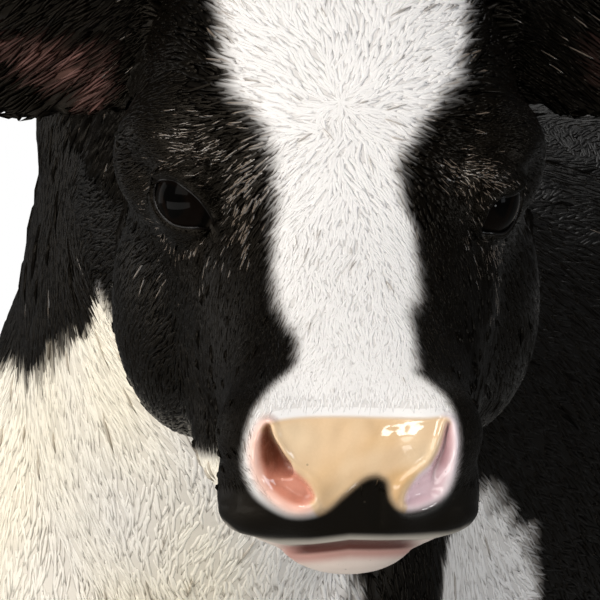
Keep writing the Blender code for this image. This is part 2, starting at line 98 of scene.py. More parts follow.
def middle_of(node):
    low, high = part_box(node)
    return (np.array(low) + np.array(high)) / 2


EYES = {1: middle_of("eye_left"), -1: middle_of("eye_right")}
POLL = (EYES[1] + EYES[-1]) / 2 - LEFT * EYE_SHIFT - ALONG * EYE_STATION - OUT * EYE_RISE
BROW = POLL + ALONG * 0.112 - OUT * 0.022  # midway between the eyes
BODY = BROW - np.array([0.183, -0.500, 0.780])  # the body's own middle line on the floor

FACE_TURN, FACE_TILT = math.radians(25.0), math.radians(7.0)
FACE_RIGHT = np.array([math.cos(FACE_TURN), math.sin(FACE_TURN), 0.0])
FACE_BACK = bearing(FACE_TURN, FACE_TILT)
FACE_UP = np.cross(FACE_BACK, FACE_RIGHT)


def on_head(side, station, rise):
    """A point given from the poll: to the left, down the face and out of the face."""
    return POLL + LEFT * side + ALONG * station + OUT * rise


print("poll", POLL.round(4), "body middle line", BODY.round(4))

# %% [markdown]
# ## Camera
# A long lens close to the level of the eyes keeps the face flat and fills the frame with it,
# while the neck, the ears and the chest run out of view.


# %% Camera
VIEW_DISTANCE, VIEW_SHIFT, VIEW_DROP = 1.5, 0.01508, 0.037323  # from the middle of the brow


def placed(name, data):
    """An object of some data, put in the scene."""
    made = bpy.data.objects.new(name, data)
    scene.collection.objects.link(made)
    return made


def make_camera():
    camera = bpy.data.cameras.new("view")
    camera.lens, camera.sensor_width = 238.73, 36.0
    camera.clip_start, camera.clip_end = 0.05, 100.0
    holder = placed("view", camera)
    place = BROW + FACE_BACK * VIEW_DISTANCE - FACE_RIGHT * VIEW_SHIFT - FACE_UP * VIEW_DROP
    axes = Matrix([FACE_RIGHT, FACE_UP, FACE_BACK]).transposed()
    holder.matrix_world = Matrix.Translation(Vector(place)) @ axes.to_4x4()
    scene.camera = holder
    return holder


camera = make_camera()
print("camera", camera.location[:])

# %% [markdown]
# ## Light and floor
# A studio sweep: a pale floor that brightens into a white surround. Cycles can tell a ray that
# comes from the camera from one that lights the piece, so the surround is seen as pure white and
# yet casts little light of its own. The lamps below do the lighting.


# %% Nodes in few words
def node(tree, kind, values=None, **settings):
    """A new shader or geometry node, with its settings and the values of its inputs."""
    made = tree.nodes.new(kind)
    for name, value in settings.items():
        setattr(made, name, value)
    for key, value in (values or {}).items():
        made.inputs[key].default_value = value
    return made


def link(tree, source, target):
    tree.links.new(source, target)


def linear(red, green, blue):
    """A paint colour given as 0 to 255, as the renderer wants it."""
    values = []
    for channel in (red, green, blue):
        c = channel / 255
        values.append(c / 12.92 if c <= 0.04045 else ((c + 0.055) / 1.055) ** 2.4)
    return values


# %% Surround
scene.view_settings.view_transform = "Standard"
world = bpy.data.worlds.new("surround")
scene.world = world
world.use_nodes = True
surround = world.node_tree
surround.nodes.clear()
seen = node(surround, "ShaderNodeBackground", {"Color": (1, 1, 1, 1), "Strength": 1.0})
cast = node(surround, "ShaderNodeBackground", {"Color": (0.96, 0.98, 1, 1), "Strength": 0.10})
chosen = node(surround, "ShaderNodeMixShader")
rays = node(surround, "ShaderNodeLightPath")
result = node(surround, "ShaderNodeOutputWorld")
link(surround, rays.outputs["Is Camera Ray"], chosen.inputs[0])
link(surround, cast.outputs[0], chosen.inputs[1])
link(surround, seen.outputs[0], chosen.inputs[2])
link(surround, chosen.outputs[0], result.inputs[0])
print("surround:", len(surround.nodes), "nodes")


# %% Floor
def floor_paint():
    """Pale and matt underfoot, brightening to the white of the surround further out."""
    material = bpy.data.materials.new("floor_paint")
    material.use_nodes = True
    tree = material.node_tree
    tree.nodes.clear()
    coords = node(tree, "ShaderNodeTexCoord")
    away = node(tree, "ShaderNodeVectorMath", operation="LENGTH")
    fade = node(tree, "ShaderNodeMapRange", {"From Min": 1.0, "From Max": 3.2})
    fade.interpolation_type = "SMOOTHSTEP"
    matt = node(tree, "ShaderNodeBsdfDiffuse")
    glow = node(tree, "ShaderNodeEmission", {"Color": (1, 1, 1, 1), "Strength": 1.0})
    faded = node(tree, "ShaderNodeMixShader")
    out = node(tree, "ShaderNodeOutputMaterial")
    seen_by = node(tree, "ShaderNodeLightPath").outputs["Is Camera Ray"]
    dim = node(tree, "ShaderNodeMapRange", {"To Min": 0.16, "To Max": 1.0})
    link(tree, seen_by, dim.inputs["Value"])
    link(tree, dim.outputs[0], glow.inputs["Strength"])
    unlit, lit = (0.45, 0.45, 0.44, 1), (0.86, 0.86, 0.85, 1)
    pale = node(tree, "ShaderNodeMix", {6: unlit, 7: lit}, data_type="RGBA")
    link(tree, seen_by, pale.inputs[0])
    link(tree, pale.outputs[2], matt.inputs["Color"])
    link(tree, coords.outputs["Object"], away.inputs[0])
    link(tree, away.outputs["Value"], fade.inputs["Value"])
    link(tree, fade.outputs[0], faded.inputs[0])
    link(tree, matt.outputs[0], faded.inputs[1])
    link(tree, glow.outputs[0], faded.inputs[2])
    link(tree, faded.outputs[0], out.inputs[0])
    return material


def make_floor():
    build = bmesh.new()
    bmesh.ops.create_circle(build, cap_ends=True, radius=14.0, segments=64)
    mesh = bpy.data.meshes.new("floor")
    build.to_mesh(mesh)
    build.free()
    floor = placed("floor", mesh)
    mesh.materials.append(floor_paint())
    return floor


print("floor", make_floor().dimensions[:])

# %% [markdown]
# ## Lamps
# The key is broad, warm and a little to the right of the calf, so the whites keep soft shadows in
# their grooves. A cool tall fill stands on the calf's left, a weak light on its right and one low
# in front, under the chin. The narrow overhead one gives the wet nose its glint, the tiny one a
# spark in the left eye, and the one behind lights the back when the piece is turned round.


# %% Lamps
def soft_lamp(name, azimuth, elevation, distance, size, power, colour, target=BROW):
    """A rectangular lamp; azimuth 0 is in front of the calf, growing to its left."""
    towards = bearing(math.radians(azimuth), math.radians(elevation))
    lamp = bpy.data.lights.new(name, "AREA")
    lamp.shape, lamp.size, lamp.size_y = "RECTANGLE", size[0], size[1]
    lamp.energy, lamp.color = power, colour
    holder = placed(name, lamp)
    holder.location = Vector(target + towards * distance)
    holder.visible_camera = False
    holder.rotation_euler = Vector(towards).to_track_quat("Z", "Y").to_euler()
    return holder


SUN, MILK, SKY, PLAIN = (1.0, 0.97, 0.92), (1.0, 0.98, 0.95), (0.90, 0.94, 1.0), (1.0, 1.0, 1.0)
CHIN = BROW - np.array([0.04, 0, 0.12])
soft_lamp("key", -16, 34, 2.2, (1.6, 1.3), 25.7, SUN)
soft_lamp("fill", 92, 10, 2.6, (0.6, 1.6), 22, SKY)
soft_lamp("glint", 0, 66, 1.9, (0.6, 0.5), 14, MILK)
soft_lamp("side", -92, 8, 2.6, (1.2, 1.5), 8, MILK)
soft_lamp("low", -25, -10, 1.8, (2.8, 0.6), 26, MILK, CHIN)
soft_lamp("catch", 67.5, -16, 1.3, (0.10, 0.10), 1.8, PLAIN, EYES[1])
soft_lamp("rear", 190, 40, 3.0, (1.6, 1.6), 12, PLAIN)

# %% [markdown]
# ## The flesh
# The statue's form is a body of lofts, closed tubes through measured sections, with ellipsoids
# for the muscles and bones that swell out of them. A voxel remesh melts them into one skin and
# smoothing takes the seams away, as a sculptor's wet thumb does.


# %% Sections and masses
RING_POINTS, SPANS = 32, 6
SIDES = {"left": 1, "right": -1}
FOREFOOT = {"left": -0.030, "right": 0.012}  # where each forefoot stands from square
HINDFOOT = {"left": -0.015, "right": 0.035}
HEAD_AXES = Matrix([LEFT, ALONG, OUT]).transposed()
UPRIGHT = Matrix.Identity(3)


def bridge(before, start, end, after, steps):
    """Places from start towards end, on a smooth curve that heeds the two beyond them."""
    made = []
    for t in np.arange(steps) / steps:
        straight = 2 * start + (end - before) * t
        bend = (2 * before - 5 * start + 4 * end - after) * t**2
        turn = (3 * start - before - 3 * end + after) * t**3
        made.append(0.5 * (straight + bend + turn))
    return made


def smooth_rows(rows):
    """The rows resampled on a smooth curve through them."""
    rows = np.array(rows, float)
    padded = np.vstack([2 * rows[0] - rows[1], rows, 2 * rows[-1] - rows[-2]])
    fours = zip(padded, padded[1:], padded[2:], padded[3:])
    return [row for four in fours for row in bridge(*four, SPANS)] + [rows[-1]]


def headings(rows):
    """The way a path of rows runs at each of them."""
    last = len(rows) - 1
    return [rows[min(i + 1, last)] - rows[max(i - 1, 0)] for i in range(last + 1)]


def ring(centre, side, up, half_width, top, bottom, power):
    """Points of a rounded section: power 2 is an ellipse, more is squarer."""
    points = []
    for k in range(RING_POINTS):
        angle = 2 * math.pi * k / RING_POINTS
        across, rise = math.cos(angle), math.sin(angle)
        x = half_width * math.copysign(abs(across) ** (2 / power), across)
        z = (top if rise > 0 else bottom) * math.copysign(abs(rise) ** (2 / power), rise)
        points.append(Vector(centre + side * x + up * z))
    return points


def add_loft(build, rings):
    """A closed body through rings of equally many points."""
    loops = [[build.verts.new(point) for point in points] for points in rings]
    for lower, upper in zip(loops, loops[1:]):
        for k in range(len(lower)):
            n = (k + 1) % len(lower)
            build.faces.new((lower[k], lower[n], upper[n], upper[k]))
    build.faces.new(list(reversed(loops[0])))
    build.faces.new(loops[-1])


def add_mass(build, centre, radii, axes=UPRIGHT):
    """An ellipsoid: a muscle, a bone's end or a pad."""
    place = Matrix.Translation(Vector(centre)) @ axes.to_4x4() @ Matrix.Diagonal((*radii, 1.0))
    bmesh.ops.create_uvsphere(build, u_segments=32, v_segments=16, radius=1.0, matrix=place)


def on_body(x, y, z):
    return BODY + np.array([x, y, z])


def add_pair(build, x, y, z, radii):
    """The same mass on the calf's left and right."""
    for side in (1, -1):
        add_mass(build, on_body(side * x, y, z), radii)


def add_head_pair(build, side, station, rise, radii, shift=0.0):
    for sign in (1, -1):
        add_mass(build, on_head(sign * side - shift, station, rise), radii, HEAD_AXES)


# %% Trunk and neck
def add_trunk(build):
    """Barrel from the brisket to the pin bones: y, top, widest height, floor, half width, power."""
    stations = [
        (-0.350, 0.660, 0.585, 0.500, 0.052, 2.0),
        (-0.315, 0.735, 0.600, 0.462, 0.086, 2.1),
        (-0.250, 0.778, 0.605, 0.440, 0.108, 2.2),
        (-0.165, 0.790, 0.595, 0.435, 0.120, 2.2),
        (-0.050, 0.768, 0.580, 0.433, 0.136, 2.2),
        (0.080, 0.762, 0.585, 0.440, 0.146, 2.2),
        (0.200, 0.775, 0.600, 0.468, 0.140, 2.2),
        (0.290, 0.797, 0.630, 0.515, 0.128, 2.2),
        (0.370, 0.797, 0.660, 0.560, 0.115, 2.1),
        (0.425, 0.775, 0.665, 0.560, 0.092, 2.0),
        (0.452, 0.740, 0.660, 0.580, 0.058, 2.0),
    ]
    side, up = np.array([1.0, 0, 0]), np.array([0, 0, 1.0])
    rings = [
        ring(on_body(0, y, widest), side, up, half, top - widest, widest - low, power)
        for y, top, widest, low, half, power in smooth_rows(stations)
    ]
    add_loft(build, rings)
    add_pair(build, 0.070, -0.205, 0.665, (0.040, 0.070, 0.085))  # shoulder blade
    add_pair(build, 0.084, -0.255, 0.575, (0.038, 0.058, 0.075))  # point of the shoulder
    add_pair(build, 0.088, -0.165, 0.515, (0.036, 0.060, 0.070))  # upper arm
    add_mass(build, on_body(0, -0.300, 0.520), (0.060, 0.060, 0.080))  # brisket
    add_pair(build, 0.090, 0.262, 0.742, (0.032, 0.052, 0.036))  # hip bone
    add_pair(build, 0.052, 0.428, 0.738, (0.026, 0.030, 0.028))  # pin bone
    add_pair(build, 0.078, 0.350, 0.660, (0.052, 0.095, 0.115))  # rump muscle
    add_pair(build, 0.090, 0.235, 0.540, (0.034, 0.048, 0.055))  # stifle
    add_mass(build, on_body(0, 0.09, 0.446), (0.020, 0.045, 0.016))  # navel


def add_neck(build):
    """Neck from inside the chest to inside the head: x, y, z, half width, top, bottom."""
    stations = [
        (0.000, -0.120, 0.630, 0.108, 0.140, 0.170),
        (0.002, -0.215, 0.660, 0.097, 0.130, 0.160),
        (0.030, -0.300, 0.705, 0.085, 0.112, 0.130),
        (0.082, -0.365, 0.755, 0.080, 0.094, 0.100),
        (0.137, -0.420, 0.790, 0.070, 0.070, 0.075),
    ]
    rows = smooth_rows(stations)
    rings = []
    for (x, y, z, half, top, bottom), heading in zip(rows, headings(rows)):
        side = unit_of(np.cross([0, 0, 1.0], heading[:3]))
        up = unit_of(np.cross(heading[:3], side))
        rings.append(ring(on_body(x, y, z), side, up, half, top, bottom, 2.2))
    add_loft(build, rings)
    add_mass(build, on_body(0.050, -0.355, 0.795), (0.075, 0.055, 0.054))  # crest


# %% Head
def add_head(build):
    """Skull and face down to the lips: station, crown, widest, floor, half width, power."""
    stations = [
        (-0.030, 0.010, -0.020, -0.060, 0.040, 2.2),
        (-0.008, 0.036, -0.025, -0.085, 0.062, 2.3),
        (0.025, 0.046, -0.032, -0.110, 0.074, 2.4),
        (0.060, 0.043, -0.040, -0.133, 0.077, 2.5),
        (0.095, 0.029, -0.052, -0.148, 0.073, 2.5),
        (0.125, 0.012, -0.060, -0.146, 0.062, 2.4),
        (0.155, 0.000, -0.060, -0.132, 0.053, 2.3),
        (0.185, -0.007, -0.058, -0.115, 0.047, 2.3),
        (0.215, -0.011, -0.055, -0.101, 0.044, 2.4),
        (0.240, -0.016, -0.053, -0.092, 0.043, 2.5),
        (0.260, -0.025, -0.051, -0.081, 0.037, 2.4),
        (0.275, -0.038, -0.050, -0.066, 0.022, 2.2),
    ]
    lean = 0.003  # the back of the skull sits this far to the calf's right
    rings = []
    for station, crown, widest, low, half, power in smooth_rows(stations):
        shift = lean * min(1.0, max(0.0, (0.150 - station) / 0.050))
        centre = on_head(-shift, station, widest)
        rings.append(ring(centre, LEFT, OUT, half, crown - widest, widest - low, power))
    add_loft(build, rings)
    add_head_pair(build, 0.0575, 0.089, -0.015, (0.0255, 0.033, 0.027), lean)  # orbit
    add_head_pair(build, 0.050, 0.078, -0.085, (0.034, 0.052, 0.056), lean)  # cheek
    add_head_pair(build, 0.026, 0.246, -0.040, (0.020, 0.026, 0.020))  # nostril wing
    add_head_pair(build, 0.022, 0.246, -0.060, (0.025, 0.026, 0.018))  # upper lip
    add_mass(build, on_head(0, 0.236, -0.085), (0.032, 0.026, 0.014), HEAD_AXES)  # chin
    add_mass(build, on_head(0, 0.000, 0.022), (0.046, 0.036, 0.026), HEAD_AXES)  # poll
    add_mass(build, on_head(-0.038, 0.132, -0.102), (0.019, 0.045, 0.028), HEAD_AXES)  # right jaw


# %% Legs and tail
def leg_rings(stations):
    """Level rings down a leg: x, y, z, half width, half depth."""
    side, back = np.array([1.0, 0, 0]), np.array([0, 1.0, 0])
    return [
        ring(on_body(x, y, z), side, back, half_width, half_depth, half_depth, 2.2)
        for x, y, z, half_width, half_depth in smooth_rows(stations)
    ]


def add_foreleg(build, side, step):
    """A foreleg; step moves its foot forward (negative y) from square."""
    stations = [
        (0.078, -0.180, 0.560, 0.038, 0.062),
        (0.078, -0.178 + 0.2 * step, 0.470, 0.036, 0.050),
        (0.076, -0.180 + 0.4 * step, 0.390, 0.030, 0.037),
        (0.075, -0.184 + 0.6 * step, 0.330, 0.027, 0.030),
        (0.075, -0.188 + 0.7 * step, 0.288, 0.030, 0.032),
        (0.074, -0.184 + 0.8 * step, 0.242, 0.022, 0.025),
        (0.073, -0.182 + 0.9 * step, 0.180, 0.0185, 0.021),
        (0.073, -0.182 + step, 0.112, 0.0235, 0.026),
        (0.073, -0.190 + step, 0.074, 0.0215, 0.024),
        (0.073, -0.196 + step, 0.040, 0.024, 0.029),
    ]
    add_loft(build, leg_rings([(side * row[0], *row[1:]) for row in stations]))
    for inner in (-1, 1):  # dew claws
        place = on_body(side * (0.073 + inner * 0.011), -0.156 + step, 0.098)
        add_mass(build, place, (0.007, 0.009, 0.010))


def add_hind_leg(build, side, step):
    """A hind leg; step moves its foot back (positive y) from square."""
    stations = [
        (0.082, 0.330, 0.660, 0.050, 0.110),
        (0.086, 0.322, 0.580, 0.051, 0.107),
        (0.084, 0.328, 0.500, 0.044, 0.086),
        (0.078, 0.356, 0.430, 0.034, 0.056),
        (0.073, 0.396, 0.375, 0.026, 0.039),
        (0.071, 0.420 + 0.3 * step, 0.335, 0.027, 0.038),
        (0.070, 0.420 + 0.5 * step, 0.285, 0.0235, 0.031),
        (0.070, 0.412 + 0.8 * step, 0.190, 0.0190, 0.0235),
        (0.070, 0.402 + step, 0.112, 0.0235, 0.027),
        (0.070, 0.392 + step, 0.074, 0.0215, 0.024),
        (0.070, 0.385 + step, 0.040, 0.024, 0.029),
    ]
    add_loft(build, leg_rings([(side * row[0], *row[1:]) for row in stations]))
    hock = on_body(side * 0.070, 0.452 + 0.3 * step, 0.357)
    add_mass(build, hock, (0.014, 0.016, 0.020))
    for inner in (-1, 1):  # dew claws
        place = on_body(side * (0.070 + inner * 0.011), 0.428 + step, 0.098)
        add_mass(build, place, (0.007, 0.009, 0.010))


def add_tail(build):
    """Tail from inside the rump to the tip of its switch: y, z, radius."""
    stations = [
        (0.400, 0.765, 0.026),
        (0.450, 0.770, 0.022),
        (0.481, 0.735, 0.017),
        (0.490, 0.660, 0.0135),
        (0.491, 0.560, 0.0115),
        (0.491, 0.460, 0.0110),
        (0.491, 0.410, 0.0150),
        (0.492, 0.350, 0.0215),
        (0.493, 0.290, 0.0185),
        (0.494, 0.245, 0.0070),
    ]
    rows = smooth_rows(stations)
    side = np.array([1.0, 0, 0])
    rings = []
    for (y, z, radius), heading in zip(rows, headings(rows)):
        across = np.cross(side, unit_of(np.array([0, *heading[:2]])))
        rings.append(ring(on_body(0, y, z), side, across, radius, radius, radius, 2.0))
    add_loft(build, rings)


# %% Ears
def add_ear(build, side):
    """A cupped leaf with a thickness, closed all round, rooted in the side of the skull."""
    base = on_head(side * 0.064, 0.010, 0.000)
    outwards = unit_of(LEFT * side + np.array([0, 0, 0.05]) - ALONG * 0.12)
    hollow = unit_of(ALONG * 0.86 - np.array([0, 0, 0.05]) + OUT * 0.25)
    across = unit_of(np.cross(outwards, hollow) * side)
    hollow = np.cross(across, outwards) * side
    length, wide, thick, cup_depth = 0.125, 0.042, 0.0060, 0.022
    rows, columns = 34, 22
    sheets = []
    for layer in (1, -1):
        grid = []
        for i in range(rows + 1):
            s = i / rows
            half = wide * (0.52 + 0.48 * math.sin(math.pi * min(1, 0.12 + 0.80 * s)))
            half *= math.sqrt(max(0.02, 1 - max(0, (s - 0.72) / 0.285) ** 2))
            cup = cup_depth * (1 - 0.45 * s)
            row = []
            for j in range(columns + 1):
                t = 2 * j / columns - 1
                lift = cup * (abs(t) ** 2.2) * (half / wide) - 0.4 * cup
                edge = min(1.0, 3.0 * (1 - abs(t))) * min(1.0, 6.0 * (1.02 - s))
                lift += layer * thick / 2 * math.sqrt(max(0.03, edge))
                place = base + outwards * (length * s) + across * (half * t)
                place = place + hollow * lift + np.array([0, 0, -0.004 * s**2])
                row.append(build.verts.new(Vector(place)))
            grid.append(row)
        sheets.append(grid)
    front, back = sheets
    for i in range(rows):
        for j in range(columns):
            build.faces.new((front[i][j], front[i + 1][j], front[i + 1][j + 1], front[i][j + 1]))
            build.faces.new((back[i][j], back[i][j + 1], back[i + 1][j + 1], back[i + 1][j]))
    rim = [(i, 0) for i in range(rows + 1)] + [(rows, j) for j in range(1, columns + 1)]
    rim += [(i, columns) for i in range(rows - 1, -1, -1)]
    rim += [(0, j) for j in range(columns - 1, 0, -1)]
    for (i, j), (m, n) in zip(rim, rim[1:] + rim[:1]):
        build.faces.new((front[i][j], back[i][j], back[m][n], front[m][n]))


# %% Melting it together
def object_of(build, name):
    bmesh.ops.recalc_face_normals(build, faces=build.faces)
    mesh = bpy.data.meshes.new(name)
    build.to_mesh(mesh)
    build.free()
    return placed(name, mesh)


def evaluated_mesh(made, all_layers=False):
    """A plain mesh of what an object's modifiers give."""
    bpy.context.view_layer.update()
    graph = bpy.context.evaluated_depsgraph_get()
    return bpy.data.meshes.new_from_object(
        made.evaluated_get(graph), preserve_all_data_layers=all_layers, depsgraph=graph
    )


def settle(made):
    """The object with its modifiers made part of its mesh."""
    mesh = evaluated_mesh(made)
    made.modifiers.clear()
    old, made.data = made.data, mesh
    bpy.data.meshes.remove(old)
    return made


def read_points(mesh, what="co"):
    """The places of a mesh's points, or their normals, as one array."""
    flat = np.empty(len(mesh.vertices) * 3, np.float32)
    mesh.vertices.foreach_get(what, flat)
    return flat.reshape(-1, 3).astype(float)


def write_points(mesh, points):
    mesh.vertices.foreach_set("co", points.astype(np.float32).ravel())
    mesh.update()


def ramp(value, start, end):
    """0 before start, 1 after end, smooth between; start may be the larger."""
    t = np.clip((value - start) / (end - start), 0, 1)
    return t * t * (3 - 2 * t)


def head_places(points):
    """(side, station, rise) of points on the head's axes."""
    away = points - POLL
    return away @ LEFT, away @ ALONG, away @ OUT


def weigh(made, name, weights):
    """A vertex group from an array of weights, in steps of a fiftieth."""
    group = made.vertex_groups.new(name=name)
    steps = np.round(np.clip(weights, 0, 1) * 50).astype(int)
    for step in np.unique(steps):
        members = np.nonzero(steps == step)[0].tolist()
        group.add(members, step / 50, "REPLACE")
    return group


def add_modifier(made, kind, name, **settings):
    step = made.modifiers.new(name, kind)
    for key, value in settings.items():
        setattr(step, key, value)
    return step


def melt_body():
    """Trunk, neck, head, legs and tail as one smooth closed surface."""
    build = bmesh.new()
    add_trunk(build)
    add_neck(build)
    add_head(build)
    for name, side in SIDES.items():
        add_foreleg(build, side, FOREFOOT[name])
        add_hind_leg(build, side, HINDFOOT[name])
    add_tail(build)
    flesh = object_of(build, "flesh")
    add_modifier(flesh, "REMESH", "merge", mode="VOXEL", voxel_size=0.0042)
    add_modifier(flesh, "SMOOTH", "blend", factor=0.5, iterations=6)
    settle(flesh)
    points = read_points(flesh.data)
    _, station, _ = head_places(points)
    behind_head = np.clip(-(station + 0.01) / 0.06, 0, 1)
    above_legs = np.clip((points[:, 2] - 0.415) / 0.06, 0, 1)
    before_tail = np.clip((0.460 + BODY[1] - points[:, 1]) / 0.03, 0, 1)
    weigh(flesh, "broad", behind_head * above_legs * before_tail)
    add_modifier(flesh, "SMOOTH", "flow", factor=0.5, iterations=90, vertex_group="broad")
    return settle(flesh)


def melt_skin(flesh):
    """The flesh with ears, lids and lips, remeshed finely enough for the face."""
    build = bmesh.new()
    build.from_mesh(flesh.data)
    for side in (1, -1):
        add_ear(build, side)
        add_mass(build, EYES[side], [EYE_RADIUS + 0.0022] * 3)  # closed lids over the ball
    bpy.data.objects.remove(flesh)
    skin = object_of(build, "skin")
    add_modifier(skin, "REMESH", "merge", mode="VOXEL", voxel_size=0.0026)
    add_modifier(skin, "SMOOTH", "blend", factor=0.5, iterations=5)
    return settle(skin)


skin = melt_skin(melt_body())
print("melted skin:", len(skin.data.vertices), "points")

# %% [markdown]
# ## Where the surface needs points
# Carving and paint need many points round the eyes, nose and mouth, and few on the barrel. The
# melted skin is thinned on the body first, then a little on the head, and each triangle near
# the eyes and on the nose is split into four, once or twice.


# %% Thinning
def thin(made, weights, triangles):
    """Collapses edges only where the weights are 1, down to that many triangles in all."""
    mesh = made.data
    weigh(made, "thin", weights)
    now = sum(len(p.vertices) - 2 for p in mesh.polygons)
    add_modifier(
        made, "DECIMATE", "thin", ratio=min(1.0, triangles / now), vertex_group="thin",
        use_collapse_triangulate=True,
    )
    settle(made)
    made.vertex_groups.clear()
    return len(made.data.polygons)


def eye_distance(points):
    return np.minimum(
        np.linalg.norm(points - EYES[1], axis=1), np.linalg.norm(points - EYES[-1], axis=1)
    )


def on_nose(points, margin=0.0):
    side, station, rise = head_places(points)
    return (station > 0.232 - margin) & (np.abs(side) < 0.055) & (rise < 0.03)


def on_head_or_ears(points):
    side, station, rise = head_places(points)
    near = np.linalg.norm(points - on_head(0, 0.09, -0.04), axis=1)
    ears = (np.abs(side) > 0.072) & (np.abs(station) < 0.06) & (rise > -0.06) & (rise < 0.05)
    return ((near < 0.20) & (station > -0.03)) | ears


BODY_TRIANGLES, FACE_TRIANGLES = 62000, 36000


def thin_skin():
    head = on_head_or_ears(read_points(skin.data))
    head_triangles = int(2 * len(skin.data.polygons) * head.mean())
    thin(skin, (~head).astype(float), head_triangles + BODY_TRIANGLES)
    points = read_points(skin.data)
    plain = on_head_or_ears(points) & ~on_nose(points, 0.012) & (eye_distance(points) > 0.034)
    count = len(skin.data.polygons)
    inside = int(count * plain.mean())
    return thin(skin, plain.astype(float), count - inside + FACE_TRIANGLES)


def split_near(chosen):
    """Splits into four each triangle whose three corners are chosen."""
    build = bmesh.new()
    build.from_mesh(skin.data)
    build.verts.ensure_lookup_table()
    edges = [e for e in build.edges if chosen[e.verts[0].index] and chosen[e.verts[1].index]]
    bmesh.ops.subdivide_edges(build, edges=edges, cuts=1, smooth=0.6, use_grid_fill=True)
    bmesh.ops.triangulate(build, faces=build.faces)
    build.to_mesh(skin.data)
    build.free()
    return len(skin.data.polygons)


print("thinned:", thin_skin(), "triangles")
points = read_points(skin.data)
print("split:", split_near(on_nose(points) | (eye_distance(points) < 0.030)), "triangles")
points = read_points(skin.data)
side, station, rise = head_places(points)
fine = (station > 0.248) & (np.abs(side) < 0.046) & (rise > -0.080) & (rise < -0.012)
fine |= eye_distance(points) < 0.0225
print("split again:", split_near(fine), "triangles")

# %% [markdown]
# ## Carving the eyes
# A calf's eyelids are a tight almond over a round ball. The lids here are carved by moving the
# skin's points along the rays from the ball's centre: just outside the ball around the opening,
# and behind the ball inside it. The upper lid stands out furthest, under a heavy fold of brow,
# so the eye looks out from deep shade.


# %% Outlines as curves
def closed_curve(corners, steps):
    """A smooth closed curve through some corners."""
    fours = zip(*(np.roll(np.array(corners, float), by, axis=0) for by in (1, 0, -1, -2)))
    return np.array([place for four in fours for place in bridge(*four, steps)])


def depth_inside(x, y, outline):
    """How far inside a closed outline each point lies; negative outside."""
    outline = np.asarray(outline, float)
    nearest = np.full(len(x), 1e9)
    inside = np.zeros(len(x), bool)
    for (ax, ay), (bx, by) in zip(outline, np.roll(outline, -1, axis=0)):
        dx, dy = bx - ax, by - ay
        t = np.clip(((x - ax) * dx + (y - ay) * dy) / (dx * dx + dy * dy + 1e-18), 0, 1)
        nearest = np.minimum(nearest, np.hypot(x - ax - t * dx, y - ay - t * dy))
        crosses = (ay > y) != (by > y)
        with np.errstate(divide="ignore", invalid="ignore"):
            at = ax + (y - ay) * dx / np.where(dy == 0, 1e-18, dy)
        inside ^= crosses & (x < at)
    return np.where(inside, nearest, -nearest)


# %% Eye openings
# Lid margins as rays from the ball's centre: towards the face's right, up, and forwards.
LIDS = {
    1: {
        "outer": (0.97, 0.22, -0.12),
        "upper": [(0.69, 0.02, 0.72), (0.44, -0.06, 0.89), (0.24, -0.30, 0.92)],
        "inner": (0.08, -0.72, 0.69),
        "lower": [(0.38, -0.78, 0.50), (0.64, -0.74, 0.15), (0.90, -0.40, -0.20)],
    },
    -1: {
        "outer": (-0.94, 0.33, 0.03),
        "upper": [(-0.62, 0.40, 0.67), (-0.30, 0.22, 0.93), (0.02, -0.05, 1.00),
                  (0.26, -0.38, 0.89)],
        "inner": (0.34, -0.66, 0.67),
        "lower": [(0.02, -0.65, 0.76), (-0.41, -0.61, 0.67), (-0.68, -0.48, 0.54),
                  (-0.93, -0.14, 0.30)],
    },
}


def face_ray(ray):
    """A ray given on the painter's axes, as a unit vector."""
    return unit_of(FACE_RIGHT * ray[0] + FACE_UP * ray[1] + FACE_BACK * ray[2])


def lid_rays(side):
    """Rays to the margin of one eye's lids, in order round the opening."""
    lids = LIDS[side]
    margin = [lids["outer"], *lids["upper"], lids["inner"], *lids["lower"]]
    return np.array([face_ray(ray) for ray in margin])


def lid_plane(side):
    """The middle ray of an opening, and two axes that lay the ball's surface flat round it."""
    lids = LIDS[side]
    middle = unit_of(np.mean(lid_rays(side), axis=0))
    across = face_ray(lids["outer"]) - face_ray(lids["inner"])
    across = unit_of(across - middle * (across @ middle))
    rise = np.cross(middle, across)
    if rise @ face_ray(lids["upper"][1]) < rise @ middle:
        rise = -rise
    return middle, across, rise


def laid_flat(rays, plane):
    """Unit rays as millimetres across and up on the ball's surface, laid flat."""
    middle, across, rise = plane
    height = np.clip(rays @ middle, -1, 1)
    angle = np.arccos(height)
    flat = np.stack([rays @ across, rays @ rise], axis=1)
    length = np.linalg.norm(flat, axis=1, keepdims=True)
    return flat / np.maximum(length, 1e-9) * angle[:, None] * EYE_RADIUS * 1000


def lid_outline(side):
    return closed_curve(laid_flat(lid_rays(side), lid_plane(side)), 8)


def about_eye(points, side, reach):
    """Which points lie within reach of the ball's centre, how far off and along which rays they
    lie, how high on the ball, and how far inside the opening in millimetres."""
    away = points - EYES[side]
    distance = np.linalg.norm(away, axis=1)
    near = distance < reach
    rays = away[near] / distance[near, None]
    flat = laid_flat(rays, lid_plane(side))
    inside = depth_inside(flat[:, 0], flat[:, 1], lid_outline(side))
    return near, distance[near], rays, flat[:, 1], inside


